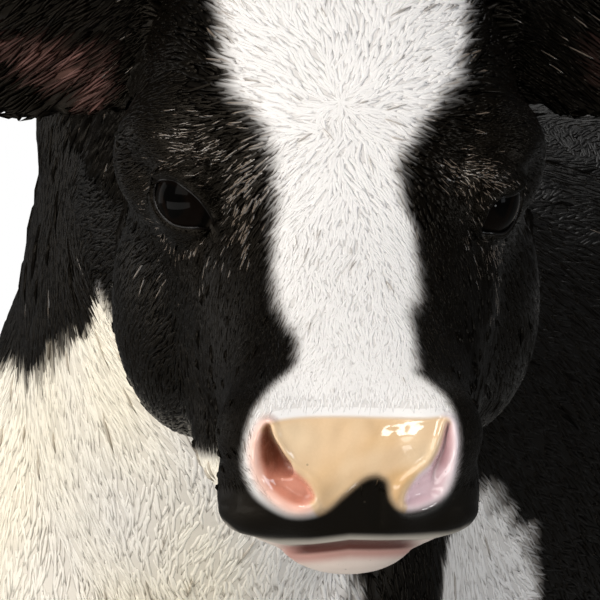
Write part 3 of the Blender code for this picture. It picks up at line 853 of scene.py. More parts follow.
def carve_eye(points, side):
    near, keep, rays, height, inside = about_eye(points, side, 0.040)
    upper = ramp(height, -2.0, 3.0)
    outside = np.maximum(-inside, 0)
    lid = EYE_RADIUS + 0.0012 + 0.0013 * upper
    lid = lid + 0.0004 * np.exp(-((outside - 1.6) ** 2) / 1.6)
    fold = np.exp(-((outside - 5.2) ** 2) / 2.4) * (0.0002 + 0.0005 * upper)
    brow = np.exp(-((outside - 9.5) ** 2) / 10.0) * 0.0008 * upper
    held = ramp(outside, 9.0, 2.5)
    outer = keep * (1 - held) + np.maximum(lid, np.minimum(keep, lid + 0.0012)) * held
    outer = outer - fold + brow
    radius = outer * ramp(inside, 0.35, -0.35) + (EYE_RADIUS - 0.0022) * ramp(inside, -0.35, 0.35)
    points[near] = EYES[side] + rays * radius[:, None]
    return points


def lid_gap(points):
    """How far outside the nearer eye's opening each point lies, in millimetres round the ball."""
    gap = np.full(len(points), 99.0)
    for side in EYES:
        near, _, _, _, inside = about_eye(points, side, 0.024)
        gap[near] = -inside
    return gap


points = read_points(skin.data)
for side in (1, -1):
    points = carve_eye(points, side)
write_points(skin.data, points)
print("eyes carved")

# %% [markdown]
# ## Carving the nose and mouth
# The nose is worked squarely from the front, in millimetres from its middle. Outlines give the
# bare pad, the two comma-shaped nostrils and the edge of the lip. The nostrils are pressed in
# behind a rounded rim, the mouth is a groove under the lip that runs back along the jaw.

# %% Nose outlines
NOSE = BROW + FACE_RIGHT * 0.0027 - FACE_UP * 0.0892
PAD = closed_curve(
    [
        (-30.9, 6.9), (-27.5, 9.6), (-18, 11.1), (-4, 11.4), (10, 11.1), (24, 10.8), (33, 11.1),
        (34.0, 7.6), (32.7, 4.5), (28.9, -2.8), (23, -8.3), (18.5, -14.2), (16.8, -20),
        (13.7, -17.3), (12.3, -11.1), (10.2, -9.3), (7.1, -9.0), (3.6, -10.4), (-2.9, -15.9),
        (-5.7, -19.4), (-9.2, -21.1), (-13, -14.5), (-17.8, -7.9), (-23.3, -2.4), (-27.8, 4.8),
    ],
    4,
)
RING = closed_curve(
    [
        (-16, 42), (-18.8, 30.4), (-28.2, 21.4), (-34.4, 13.1), (-37.1, 3.5), (-37.6, -6.9),
        (-33.7, -15.9), (-24.7, -22.1), (-17, -23.4), (-9.2, -21.3), (-2.9, -15.9), (3.6, -10.4),
        (7.1, -9.0), (10.2, -9.3), (12.4, -11.1), (13.7, -17.3), (18.5, -21.1), (28.9, -18.7),
        (35.1, -12.8), (37.5, -1.7), (37.1, 8.6), (33.7, 17.3), (27.1, 23.5), (19, 30.4), (16, 42),
    ],
    4,
)
NOSTRILS = {
    -1: {
        "hole": [(-29.2, 8.4), (-27.6, 4.6), (-24, -1.4), (-21.4, -5.4), (-22.8, -8.8),
                 (-28.2, -8.4), (-30.4, -3), (-31, 4.0)],
        "flesh": [(-28.9, 8.6), (-26.5, 2.5), (-21.3, -5.0), (-15, -10.4), (-12.2, -16.5),
                  (-16.1, -19.6), (-22, -18.6), (-28.4, -13.4), (-31.8, -6), (-32.2, 2)],
    },
    1: {
        "hole": [(33.4, 9.0), (31.2, 0.6), (28.2, -5.0), (29.6, -11.0), (32.4, -7),
                 (34.4, 0), (34.6, 5)],
        "flesh": [(33.6, 9.2), (28.6, -3.6), (20.4, -11.4), (18.0, -17.6), (21, -20.0),
                  (29.2, -17.0), (33.3, -9.7), (34.9, 1.4)],
    },
}
LIP_EDGE = [(-52, -17), (-44.8, -25), (-38.5, -30), (-31, -31.2), (-24.7, -31.4), (-14.3, -31.1),
            (-0.5, -29.4), (13.3, -29.7), (23.7, -29.5), (34, -29), (38.5, -28), (43, -25.5),
            (50, -15)]
LIP_FOOT = [(-52, -23), (-44.8, -28), (-36, -32), (-28.2, -33.6), (-21.3, -34.6), (-14.3, -33.9),
            (-0.5, -31.8), (9.8, -32.1), (23.7, -32.3), (36.8, -31), (44.4, -27), (50, -21)]


def along_table(table, at):
    """The table's second number where its first one is at, with straight lines between."""
    return np.interp(at, *np.array(table, float).T)


def height_over(x, y, path):
    """How far above an open path, given from left to right, each point lies."""
    return y - along_table(path, x)


def nose_places(points):
    """(right, up, forwards) in millimetres from the middle of the nose."""
    away = (points - NOSE) * 1000
    return away @ FACE_RIGHT, away @ FACE_UP, away @ FACE_BACK


def moved(points, axis, millimetres):
    return points + np.outer(millimetres / 1000, axis)


# %% Carve the nose
def waves(points, scale, seed):
    """A smooth wandering value from -1 to 1 at each point, made of a few slanting sines."""
    draw = np.random.default_rng(seed)
    total = np.zeros(len(points))
    for _ in range(7):
        direction = unit_of(draw.normal(size=3))
        pitch = draw.uniform(0.6, 1.6) * 2 * math.pi / scale
        total += np.sin(points @ direction * pitch + draw.uniform(0, 2 * math.pi))
    return total / 3.2


MUZZLE_WIDTH = [(-45, -0.12), (-37, -0.12), (-33.5, 0.05), (-30, 0.17), (-25, 0.11), (-20, 0.045),
                (-13, 0.005), (-5, 0.01), (5, 0.04)]  # height in millimetres, share wider


def widen_muzzle(points):
    """Brings lips and jaw out to their full width, a little to the calf's right."""
    side, station, rise = head_places(points)
    _, y, _ = nose_places(points)
    wider = along_table(MUZZLE_WIDTH, y)
    held = ramp(station, 0.185, 0.235) * ramp(rise, -0.010, -0.035)
    points = points + np.outer(side * wider * held, LEFT)
    held = ramp(station, 0.200, 0.240)
    return points - np.outer(0.0018 * held, LEFT)


def nostril_depths(x, y):
    """For each nostril, how far inside its flesh and inside its hole each point lies."""
    return {
        hand: [depth_inside(x, y, closed_curve(parts[part], 6)) for part in ("flesh", "hole")]
        for hand, parts in NOSTRILS.items()
    }


PRESS = {-1: (4.0, 7.0), 1: (3.0, 2.2)}  # how deep flesh and hole go, in millimetres


def carve_nostrils(points):
    _, station, _ = head_places(points)
    x, y, _ = nose_places(points)
    front = station > 0.240
    broad = ramp(y, -6, -13)
    for hand, (flesh, hole) in nostril_depths(x, y).items():
        press = PRESS[hand][0] * ramp(flesh, -0.6, 4.0) + PRESS[hand][1] * ramp(hole, -1.5, 3.2)
        rim = np.exp(-((flesh + 1.6 + 0.5 * broad) ** 2) / (2.4 + 4.0 * broad))
        rim = (1.8 + 0.6 * broad) * rim * (0.35 + 0.65 * ramp(hand * x, 10, 30))
        points = moved(points, -FACE_BACK, press * front)
        points = moved(points, FACE_BACK, rim * front)
        points = moved(points, FACE_RIGHT * -hand, 0.35 * press * front)
    return points


def carve_pad(points):
    """The pad lies a hair's depth below the coat and has a shallow groove down its middle."""
    _, station, _ = head_places(points)
    x, y, _ = nose_places(points)
    front = station > 0.240
    pad = depth_inside(x, y, PAD)
    points = moved(points, -FACE_BACK, 0.45 * ramp(pad, -0.5, 0.8) * front)
    swell = 1.9 * np.exp(-((x - 14.5) ** 2) / 90 - (y - 3.5) ** 2 / 22)
    swell += 0.8 * np.exp(-((x - 24) ** 2) / 30 - (y - 1) ** 2 / 60)
    swell += 0.9 * np.exp(-((x + 16) ** 2) / 90 - (y - 4) ** 2 / 60)
    groove = 0.9 * np.exp(-((x - 9.5) ** 2) / 5.0) * ramp(y, -6, -10) * ramp(y, -28, -24)
    knobs = 0.42 * waves(points, 0.019, 73) + 0.12 * waves(points, 0.008, 72)
    knobs = knobs * ramp(pad, 0.0, 3.0) * (0.45 + 0.75 * ramp(y, -2, 8))
    return moved(points, FACE_BACK, (swell - groove + knobs) * front)


def carve_mouth(points):
    side, station, rise = head_places(points)
    x, y, _ = nose_places(points)
    front = ramp(station, 0.232, 0.246)
    under = -height_over(x, y, LIP_FOOT)
    within = ramp(np.abs(x + 1), 30, 22)
    gap = np.exp(-((under - 1.6) ** 2) / 2.6)
    points = moved(points, -FACE_BACK, 4.2 * gap * front * within)
    lip = np.exp(-((under + 2.0) ** 2) / 8.0)
    points = moved(points, FACE_BACK, 0.8 * lip * front * ramp(np.abs(x), 44, 30))
    line = rise + 0.0735 + (0.262 - station) * 0.087
    side_groove = np.exp(-(line**2) / 0.0013**2) * ramp(station, 0.168, 0.190) * (1 - front)
    return points - np.outer(np.sign(side) * 0.0022 * side_groove, LEFT)


for carve in (widen_muzzle, carve_nostrils, carve_pad, carve_mouth):
    points = carve(points)
write_points(skin.data, points)
print("nose carved; skin has", len(skin.data.polygons), "triangles")

# %% [markdown]
# ## A flat map of the skin
# The skin is unwrapped here by its own shape into a flat map called OFBake, and each tuft of coat
# will later get a tiny patch of the same map at the place of its root.


# %% Unwrap
def unwrap():
    mesh = skin.data
    while mesh.uv_layers:
        mesh.uv_layers.remove(mesh.uv_layers[0])
    mesh.uv_layers.new(name="OFBake")
    bpy.context.view_layer.objects.active = skin
    for other in bpy.context.selected_objects:
        other.select_set(False)
    skin.select_set(True)
    bpy.ops.object.mode_set(mode="EDIT")
    bpy.ops.mesh.select_all(action="SELECT")
    bpy.ops.uv.smart_project(angle_limit=math.radians(70), island_margin=0.002)
    bpy.ops.object.mode_set(mode="OBJECT")


unwrap()
print("unwrapped:", [layer.name for layer in skin.data.uv_layers])

# %% [markdown]
# ## The lie of the coat
# Hair grows away from a whorl on the forehead: up over the crown, out to the sides and down the
# face. On the neck and chest it runs down with a slow wave, on the barrel back and down, and on
# the legs straight down. The direction is kept on the skin as an attribute called lay, which the
# tufts follow later, with others for the tufts' length and how closely they stand.


# %% Direction of the coat
def unit(vectors):
    return vectors / np.maximum(np.linalg.norm(vectors, axis=1, keepdims=True), 1e-9)


points = read_points(skin.data)
normals = read_points(skin.data, "normal")
side, station, rise = head_places(points)
nose_x, nose_y, _ = nose_places(points)
away = np.linalg.norm(points - on_head(0, 0.10, -0.04), axis=1)
body = points - BODY
on_ears = (np.abs(side) > 0.074) & (np.abs(station) < 0.07) & (rise > -0.07) & (rise < 0.05)
JAW_FLOOR = [(-0.05, -0.075), (-0.008, -0.088), (0.025, -0.112), (0.060, -0.135), (0.095, -0.149),
             (0.125, -0.147), (0.155, -0.133), (0.185, -0.117), (0.215, -0.104), (0.275, -0.098)]
jaw_floor = along_table(JAW_FLOOR, station)
headness = ramp(station, -0.030, -0.005) * ramp(away, 0.235, 0.20)
headness = np.maximum(headness * ramp(rise - jaw_floor, -0.010, 0.0), on_ears)
WHORL = on_head(0.0005, 0.1175, 0.020)


def coat_direction():
    radial = unit(points - WHORL)
    radial += np.outer(0.25 * ramp(station, 0.12, 0.20), ALONG)
    close = ramp(np.linalg.norm(points - WHORL, axis=1), 0.045, 0.004)
    radial += np.outer(0.7 * waves(points, 0.018, 5) * close, LEFT)
    radial += np.outer(0.7 * waves(points, 0.018, 6) * close, ALONG)
    radial += np.outer(0.30 * waves(points, 0.030, 7), LEFT)
    radial += np.outer(0.30 * waves(points, 0.032, 8), ALONG)
    back = np.array([0.0, 1.0, 0.0])
    down = np.array([0.0, 0.0, -1.0])
    barrel = ramp(body[:, 1], -0.26, -0.14) * ramp(body[:, 2], 0.44, 0.52)
    field = np.outer(barrel, back) + np.outer(1.0 - 0.45 * barrel, down)
    parting = np.clip((body[:, 0] - 0.03) / 0.12, -1, 1)
    field += np.outer(0.42 * parting * (1 - barrel) * ramp(body[:, 2], 0.45, 0.55), [1.0, 0, 0])
    field += np.outer(0.40 * waves(points, 0.13, 3), [1.0, 0, 0]) * (1 - headness[:, None])
    field += np.outer(0.30 * waves(points, 0.16, 4), back) * (1 - headness[:, None])
    field = field * (1 - headness[:, None]) + radial * headness[:, None]
    for hand in (1, -1):
        outwards = LEFT * hand * 0.75 - ALONG * 0.08 - np.array([0, 0, 0.62])
        field[on_ears & (side * hand > 0)] = outwards
    field -= normals * np.sum(field * normals, axis=1, keepdims=True)
    return unit(field)


lay = coat_direction()
print("lay of the coat on", len(lay), "points")

# %% [markdown]
# ## Airbrushed paint
# The real statue is sprayed, colour over colour, and the spray edges are soft on the face and
# feathered with a brush on the neck. Here each colour is laid over the last with a mask from 0
# to 1, computed from outlines and blobs in the body's and the head's own axes, and the result
# is kept on the skin's points. The tufts of coat take the same paint where they stand.

# %% Paints
BLACK = linear(8, 6, 4)
WHITE = linear(234, 231, 229)
CREAM = linear(245, 237, 219)
TAN = linear(221, 189, 151)
GOLD = linear(208, 168, 118)
HIGHLIGHT_TAN = linear(226, 204, 172)
SALMON = linear(210, 142, 120)
BLUSH = linear(238, 186, 166)
DEEP_FLESH_AND_SHADE = linear(126, 70, 52)
MAUVE = linear(232, 202, 208)
RIM_MAUVE = linear(238, 218, 222)
DULL_MAUVE_AND_SHADE = linear(206, 168, 172)
LIP_GREY = linear(196, 189, 178)
LIP_PINK = linear(236, 218, 208)
MOUTH = linear(202, 156, 146)
MOUTH_GROOVE_SHADE = linear(84, 44, 38)
EAR_PINK = linear(136, 100, 94)

BLAZE_RIGHT = [(-0.03, 0.020), (0.00, 0.032), (0.03, 0.042), (0.055, 0.0466), (0.086, 0.0432),
               (0.101, 0.0400), (0.1155, 0.0300), (0.126, 0.0264), (0.143, 0.0245),
               (0.165, 0.0258), (0.185, 0.0270), (0.211, 0.0232), (0.226, 0.0200), (0.30, 0.020)]
BLAZE_LEFT = [(-0.03, 0.022), (0.00, 0.036), (0.03, 0.046), (0.048, 0.0496), (0.072, 0.0482),
              (0.090, 0.0434), (0.107, 0.0350), (0.121, 0.0250), (0.134, 0.0207),
              (0.147, 0.0209), (0.159, 0.0252), (0.189, 0.0248), (0.215, 0.0210), (0.30, 0.020)]


def blob(centre, radii):
    """Distance inside an ellipsoid in the body's axes, in metres."""
    away = (body - np.array(centre)) / np.array(radii)
    return (1 - np.linalg.norm(away, axis=1)) * min(radii)


# How far each point lies inside the blaze, in metres, and inside the outlines of the nose and
# above the edges of the lips, in millimetres.
in_blaze = np.minimum(
    along_table(BLAZE_LEFT, station) - side, along_table(BLAZE_RIGHT, station) + side
)
in_pad, in_ring = (depth_inside(nose_x, nose_y, outline) for outline in (PAD, RING))
in_nostrils = nostril_depths(nose_x, nose_y)
lip_edge, lip_foot = (height_over(nose_x, nose_y, path) for path in (LIP_EDGE, LIP_FOOT))
print("points on the nose pad:", int((in_pad > 0).sum()))


# %% Where the black is
def face_black():
    """1 on the black of the face, 0 on the blaze and on the ring round the nose."""
    fray = 0.0009 * waves(points, 0.022, 11) + 0.0005 * waves(points, 0.007, 12)
    blaze = in_blaze + fray
    blaze = np.minimum(blaze, 0.012 + rise + 0.060)
    blaze = ramp(blaze, -0.0028, 0.0028) * ramp(station, -0.030, -0.005) * ramp(nose_y, 2, 10)
    ringed = ramp(in_ring, -1.6, 2.2) * (station > 0.20)
    crest = ramp(rise, -0.075, -0.070)
    return 1 - np.maximum(blaze * crest, ringed)


THROAT = [(-0.10, 0.664), (-0.045, 0.680), (-0.007, 0.690), (0.019, 0.699), (0.036, 0.716),
          (0.05, 0.737), (0.10, 0.745)]  # how high the chest's white reaches, from right to left
WHITE_PATCHES = [  # centre, radii, how loose the edge is, seed
    ((0.128, -0.200, 0.495), (0.075, 0.070, 0.114), 0.3, 31),  # left shoulder
    ((0.0, 0.07, 0.40), (0.16, 0.30, 0.085), 1.0, 32),  # belly
    ((-0.13, -0.010, 0.640), (0.06, 0.060, 0.130), 1.0, 33),  # right ribs
    ((0.135, 0.120, 0.58), (0.06, 0.075, 0.130), 1.0, 34),  # left flank
    ((0.02, 0.335, 0.83), (0.085, 0.065, 0.075), 1.0, 35),  # rump
    ((-0.12, 0.345, 0.545), (0.07, 0.060, 0.080), 1.0, 36),  # right thigh
]


def body_black():
    """1 on the black patches of neck and body, 0 on the white."""
    across, along, height = body.T
    edge = 0.004 * waves(points, 0.030, 21) + 0.003 * waves(points, 0.012, 22)
    front = ramp(along, -0.14, -0.20)
    shoulder = 0.100 - 0.06 * ramp(along, -0.31, -0.25) * ramp(height, 0.60, 0.66)
    chest = np.minimum(along_table(THROAT, across) - height + edge, shoulder - across + edge * 1.4)
    chest = np.minimum(chest, -0.175 - along + np.clip(0.12 - (across + 0.12), 0, 0.2) * 0.9)
    white = chest * front - (1 - front) * 0.02
    for centre, radii, loose, seed in WHITE_PATCHES:
        wander = loose * (0.018 * waves(points, 0.16, seed) + 0.005 * waves(points, 0.045, seed))
        white = np.maximum(white, blob(centre, radii) + wander)
    legs = np.where(along < 0.1, 0.425, 0.405) - height + edge * 2
    white = np.maximum(white, legs + 0.016 * waves(points, 0.11, 37))
    switch = (0.440 - height + edge * 2) * np.where(along > 0.455, 1, 0) - 0.01 * (along <= 0.455)
    white = np.where(along > 0.478, switch, white)
    return ramp(white, 0.0012, -0.0012)


def jaw_white():
    """1 where the white runs up from under the jaw, higher on the calf's right."""
    right = ramp(side, -0.030, -0.045) * ramp(station, 0.105, 0.125) * ramp(station, 0.19, 0.17)
    below = ramp(rise - jaw_floor - (0.012 + 0.016 * right), 0.0, -0.004)
    return below * ramp(station, 0.085, 0.105) * headness


under_jaw = jaw_white()


def black_share():
    black = body_black() * (1 - headness) + headness
    black = np.where((headness > 0.5) & (rise > -0.10), 1.0, black)
    in_face = (station > -0.035) & (headness > 0.3) & ~on_ears
    black = np.where(in_face, np.minimum(black, face_black()), black)
    return np.clip(black * (1 - under_jaw * ~on_ears), 0, 1)


coat_black = black_share()
print("black share", float(coat_black.mean().round(3)))


# %% Colour over colour
def spray(paint, colour, mask):
    return paint + mask[:, None] * (np.array(colour) - paint)


NOSTRIL_PAINTS = {-1: (BLUSH, SALMON, DEEP_FLESH_AND_SHADE), 1: (RIM_MAUVE, MAUVE, DULL_MAUVE_AND_SHADE)}


def nose_paint(paint):
    """Rims, then the pad with its cloudy places and painted highlights, then the flesh of the
    nostrils, darker inside with painted shade.
    """
    front = (station > 0.236) & (rise < -0.005)
    shade = 1.5 * waves(points, 0.012, 41)
    for hand, (flesh, _) in in_nostrils.items():
        paint = spray(paint, NOSTRIL_PAINTS[hand][0], front * ramp(flesh, -5.2, -0.6) * 0.9)
    under = 3.0 * ramp(nose_y, 2, -6) * ramp(np.abs(nose_x - 1), 22, 16)
    paint = spray(paint, TAN, front * ramp(in_pad + under, -1.2, 0.8))
    cloudy = np.clip(0.5 * waves(points, 0.020, 43), 0, 1) + 0.5 * ramp(nose_y, -4, -14)
    paint = spray(paint, GOLD, front * ramp(in_pad, -0.5, 2) * np.clip(cloudy, 0, 0.8))
    # Painted highlight: paler tan where the wet pad catches the light.
    pale = 0.55 * np.exp(-((nose_x - 24) ** 2 + (nose_y - 1) ** 2) / 60)
    pale += 0.45 * np.exp(-((nose_x + 18) ** 2 + (nose_y - 3) ** 2) / 50)
    paint = spray(paint, HIGHLIGHT_TAN, front * ramp(in_pad, 0, 2) * np.clip(pale + 0.1 * shade, 0, 1))
    veins = 0.16 * waves(points, 0.006, 42)
    for hand, (flesh, hole) in in_nostrils.items():
        _, inside, dark = NOSTRIL_PAINTS[hand]
        paint = spray(paint, inside, front * ramp(flesh, -0.6, 2.0))
        # Darker deep in each nostril and towards its top: partly the flesh's own colour, partly
        # painted shade under the wing.
        deep = ramp(flesh, 0.0, 2.0) * ramp(nose_y, -13, 2) * 0.75
        deep = np.maximum(deep, ramp(hole, -1.8, 1.2) * ramp(nose_y, -10, -3))
        paint = spray(paint, dark, front * np.clip(deep + veins * ramp(flesh, 0, 2), 0, 1))
    return paint


def lip_paint(paint):
    """A grey edge over the mouth, pale lip and chin below it, and the mouth between them, with
    painted shade in the groove under the lip.
    """
    front = (station > 0.19) & (rise < -0.04)
    tip = front * (station > 0.235)
    edge = ramp(lip_edge, 0.8, -2.2) * ramp(np.abs(nose_x + 2), 46, 41)
    paint = spray(paint, LIP_GREY, front * edge)
    below = front * ramp(lip_foot, 0.3, -0.5) * ramp(np.abs(nose_x + 1), 44, 39)
    paint = spray(paint, LIP_PINK, below * ramp(rise, -0.120, -0.070))
    wet = ramp(lip_foot, 0.2, -1.0) * ramp(lip_foot, -9.0, -5.0) * ramp(np.abs(nose_x + 1), 27, 20)
    paint = spray(paint, MOUTH, wet * tip)
    # Painted shade: a dark band in the groove under the upper lip.
    gap = ramp(lip_foot, 0.6, 0.0) * ramp(lip_foot, -4.6, -3.0) * ramp(np.abs(nose_x - 1), 26, 16)
    return spray(paint, MOUTH_GROOVE_SHADE, 0.95 * gap * tip)


EAR_ROOT = {1: (0.102, 0.120), -1: (0.084, 0.096)}  # where the pink of each ear starts


def ear_paint(paint):
    """Pink in streaks down the hollow of each ear."""
    facing = ramp(normals @ unit_of(ALONG * 0.86 + OUT * 0.25), 0.30, 0.75)
    foot = -0.031 + 0.4 * (np.abs(side) - 0.10)
    inner = on_ears * facing * ramp(np.abs(side), 0.180, 0.150)
    inner = inner * ramp(rise - foot, -0.002, 0.004) * ramp(rise, -0.008, -0.015)
    for hand, root in EAR_ROOT.items():
        streak = 0.45 + 0.65 * waves(points, 0.006, 81 + hand)
        pink = 0.85 * streak * inner * ramp(np.abs(side), *root) * (side * hand > 0)
        paint = spray(paint, EAR_PINK, np.clip(pink, 0, 1))
    return paint


def paint_skin():
    paint = np.tile(np.array(WHITE), (len(points), 1))
    warm = ramp(headness, 0.6, 0.2) * (0.75 + 0.25 * waves(points, 0.09, 51))
    warm = warm * (1 - 0.85 * ramp(body[:, 0], 0.06, 0.10) * (body[:, 1] < -0.05))
    paint = spray(paint, CREAM, np.clip(np.maximum(warm, under_jaw * 0.8), 0, 1))
    paint = spray(nose_paint(paint), BLACK, coat_black)
    return ear_paint(lip_paint(paint))


paint = paint_skin()
print("mean paint", paint.mean(axis=0).round(3))


# %% [markdown]
# ## What each place asks of the coat
# The tufts read numbers kept on the skin: where it is bare, how long a stroke is, how strongly it
# stands out, how often one is polished so that it catches the light and gets a painted highlight,
# and how many there is room for. Strokes are shortest on the face and feet, and deepest along the
# edge of the blaze.


# %% Bare skin and length of stroke
eyes_off = eye_distance(points)
at_front = station > 0.232
chested = (body[:, 1] < -0.10) & (body[:, 2] > 0.42)
on_chest = chested & (headness < 0.5)
on_poll = headness * ramp(station, 0.045, 0.010) * (np.abs(side) < 0.07) * (rise > -0.03)


def bare_skin():
    """1 on the nose, the nostrils, the lips, the lids and the hooves, 0 in the coat."""
    bare = np.zeros(len(points))
    for flesh, _ in in_nostrils.values():
        bare = np.maximum(bare, at_front * ramp(flesh, -3.2, -1.6))
    bare = np.maximum(bare, at_front * ramp(in_pad + 1.5 * ramp(nose_y, 4, 9), -2.4, -1.2))
    lips = at_front * ramp(nose_y, -9, -16) * (in_ring < 3) * ramp(lip_foot, -17, -13)
    bare = np.maximum(bare, lips)
    bare = np.maximum(bare, ramp(lid_gap(points), 1.5, 0.8))
    return np.maximum(bare, ramp(body[:, 2], 0.056, 0.050))


def stroke_lengths():
    length = 0.0215 * (1 - headness) + headness * (0.0085 + 0.0050 * ramp(station, 0.20, 0.10))
    length = length * (1 - 0.45 * headness * ramp(station, 0.225, 0.240))
    length = length * (1 - 0.45 * headness * ramp(eyes_off, 0.050, 0.024))
    length = length * (1 - 0.45 * ramp(body[:, 2], 0.42, 0.30) * (body[:, 1] < 0.47))
    length = np.where(body[:, 1] > 0.478, np.where(body[:, 2] < 0.44, 0.034, 0.020), length)
    length = np.where(on_chest, 0.0155, length) + 0.006 * on_poll
    length = length * (1 - 0.45 * ramp(np.linalg.norm(points - WHORL, axis=1), 0.020, 0.004))
    return np.where(on_ears, 0.009 + 0.011 * ramp(np.abs(side), 0.076, 0.104), length)


bare, stroke_length = bare_skin(), stroke_lengths()
print("bare share", float(bare.mean().round(3)))

# %% Relief and gloss
# Polished strokes get a clear coat and also a painted highlight on their crests.
GLINTS = [  # where strokes on the black catch the light: (side, station), reach, share
    ((-0.055, 0.113), (0.010, 0.009), 0.40), ((-0.036, 0.137), (0.006, 0.020), 0.60),
    ((0.050, 0.127), (0.014, 0.007), 0.40), ((-0.047, 0.070), (0.007, 0.018), 0.35),
    ((0.048, 0.080), (0.008, 0.020), 0.25), ((-0.046, 0.150), (0.006, 0.005), 0.25),
]


def bump_at(value, middle, reach):
    """1 where a value is at the middle, falling away smoothly over the reach."""
    return np.exp(-(((value - middle) / reach) ** 2))


def stroke_relief():
    """How strongly strokes stand out, as a share of their piece's height."""
    above = rise > -0.05
    relief = 0.42 + 0.9 * bump_at(in_blaze, -0.004, 0.010) * ramp(station, 0.17, 0.13) * above
    relief = relief + 0.25 * ramp(station, 0.10, 0.02)
    white = (in_blaze > 0) & (rise > -0.06)
    softer = (1 - 0.5 * ramp(station, 0.11, 0.15)) * (1 - 0.25 * ramp(in_blaze, 0.004, 0.014))
    relief = relief * np.where(white, softer, 1.0)
    beside = bump_at(in_blaze, -0.010, 0.008) * ramp(station, 0.175, 0.13)
    relief = relief + 0.7 * beside * ~white * above + 0.05 * (in_blaze < -0.01)
    relief = relief * (1 - 0.72 * ramp(station, 0.190, 0.225))
    relief = relief * headness + np.where(chested, 0.40, 0.60) * (1 - headness)
    relief = relief + 0.5 * on_poll
    return np.where(on_ears, 1.0, relief) * (1 + 0.25 * waves(points, 0.05, 61))


def stroke_gloss():
    """The share of strokes that are polished: clear coated, with a painted highlight on the crest.
    """
    gloss = 0.015 * on_ears + 0.003 * (1 - headness)
    for at, reach, amount in GLINTS:
        apart = np.hypot((side - at[0]) / reach[0], (station - at[1]) / reach[1])
        gloss = gloss + amount * np.exp(-(apart**2)) * (rise > -0.06)
    return gloss + 0.15 * bump_at(eyes_off, 0.0225, 0.0015) * (rise < -0.02)


relief, gloss = stroke_relief(), stroke_gloss()
stroke_length = stroke_length * (1 + 0.45 * ramp(relief, 0.9, 1.5) * headness * ~on_ears)
print("relief", relief.min().round(2), "to", relief.max().round(2))
print("gloss up to", gloss.max().round(2))


# %% Kept on the skin
def keep_attribute(name, kind, values, domain="POINT"):
    layer = skin.data.attributes.new(name, kind, domain)
    field = {"FLOAT": "value", "FLOAT_VECTOR": "vector", "FLOAT_COLOR": "color", "INT": "value"}
    layer.data.foreach_set(field[kind], np.asarray(values).ravel())


def wet_skin():
    """How wet the bare skin of nose, lips and nostrils looks."""
    wet = at_front * ramp(in_pad, -0.6, 0.6)
    for flesh, _ in in_nostrils.values():
        wet = np.maximum(wet, at_front * ramp(flesh, -4.6, -2.2))
    mouth = at_front * ramp(lip_foot, 0.6, -0.6) * ramp(lip_foot, -7, -4)
    return np.maximum(wet, 0.2 * mouth)


crowded = 1 + 1.2 * ramp(eyes_off, 0.029, 0.022)
crowded = crowded * (1 - 0.72 * at_front * ramp(in_pad, -11, -3))
crowded = crowded * (1 - 0.6 * at_front * ramp(nose_y, -36, -40))
for name, values in {
    "relief": np.clip(relief, 0.12, 1.7), "gloss": gloss, "black": coat_black, "bare": bare,
    "stroke": stroke_length, "room": crowded * (1 - bare) / stroke_length**2, "wet": wet_skin(),
}.items():
    keep_attribute(name, "FLOAT", values)
keep_attribute("up", "FLOAT_VECTOR", normals)
keep_attribute("lay", "FLOAT_VECTOR", lay)
keep_attribute("paint", "FLOAT_COLOR", np.hstack([paint, np.ones((len(points), 1))]))
print("kept:", sorted(layer.name for layer in skin.data.attributes if not layer.is_internal))

# %% Zones, one for each coat piece
COATS = {  # density, width, height, disorder, airbrushed
    "coat_face_left": (30, 0.20, 0.00085, 0.30, 1.0),
    "coat_face_right": (30, 0.20, 0.00085, 0.30, 1.0),
    "coat_crown": (30, 0.20, 0.00090, 0.30, 1.0),
    "coat_chest": (30, 0.17, 0.00095, 0.34, 0.4),
    "coat_neck": (30, 0.17, 0.00095, 0.34, 0.4),
    "coat_barrel_left": (26, 0.17, 0.0009, 0.30, 0.3),
    "coat_barrel_right": (26, 0.17, 0.0009, 0.30, 0.3),
    "coat_legs": (26, 0.16, 0.0008, 0.30, 0.0),
    "coat_ears_and_tail": (34, 0.11, 0.0015, 0.20, 0.1),
}
NUMBER = {name: number for number, name in enumerate(COATS)}


def corner_triples():
    loops = np.empty(len(skin.data.polygons) * 3, np.int32)
    skin.data.polygons.foreach_get("vertices", loops)
    return loops.reshape(-1, 3)


def zone_of_faces(triples):
    """The number of the coat piece that each triangle of the skin belongs to."""
    middles = points[triples].mean(axis=1)
    to_left, down_face, _ = head_places(middles)
    across, along, height = (middles - BODY).T
    head = headness[triples].mean(axis=1) > 0.5
    chest = on_chest[triples].any(axis=1)
    zone = np.where(across > 0, NUMBER["coat_barrel_left"], NUMBER["coat_barrel_right"])
    for name, chosen in {
        "coat_legs": height < 0.42,
        "coat_chest": chest & (height < 0.72),
        "coat_neck": (chest & (height >= 0.72)) | ((along < -0.10) & (height > 0.72) & ~head),
        "coat_face_left": head & (to_left > 0),
        "coat_face_right": head & (to_left <= 0),
        "coat_crown": head & (down_face < 0.098),
        "coat_ears_and_tail": on_ears[triples].any(axis=1) | (along > 0.478),
    }.items():
        zone = np.where(chosen, NUMBER[name], zone)
    return zone


def room_in_zones(triples, zone):
    """How many strokes each zone would hold, side by side, at a density of 1."""
    a, b, c = points[triples[:, 0]], points[triples[:, 1]], points[triples[:, 2]]
    area = np.linalg.norm(np.cross(b - a, c - a), axis=1) / 2
    room = ((1 - bare) / stroke_length**2)[triples].mean(axis=1)
    return {name: float((area * room)[zone == number].sum()) for name, number in NUMBER.items()}


triples = corner_triples()
zone = zone_of_faces(triples)
keep_attribute("zone", "INT", zone.astype(np.int32), "FACE")
rooms = room_in_zones(triples, zone)
print("room per zone", {name: round(room) for name, room in rooms.items()})

# %% [markdown]
# ## The coat as carved strokes
# The sculptor cut the coat one stroke at a time. Each stroke here is a low ridge, pointed at
# both ends, in a few bent variants. Geometry Nodes scatters them over the skin, turns each to
# the lie of the coat with a little disorder, presses its points down onto the surface, and
# gives it the paint of the place where it stands.


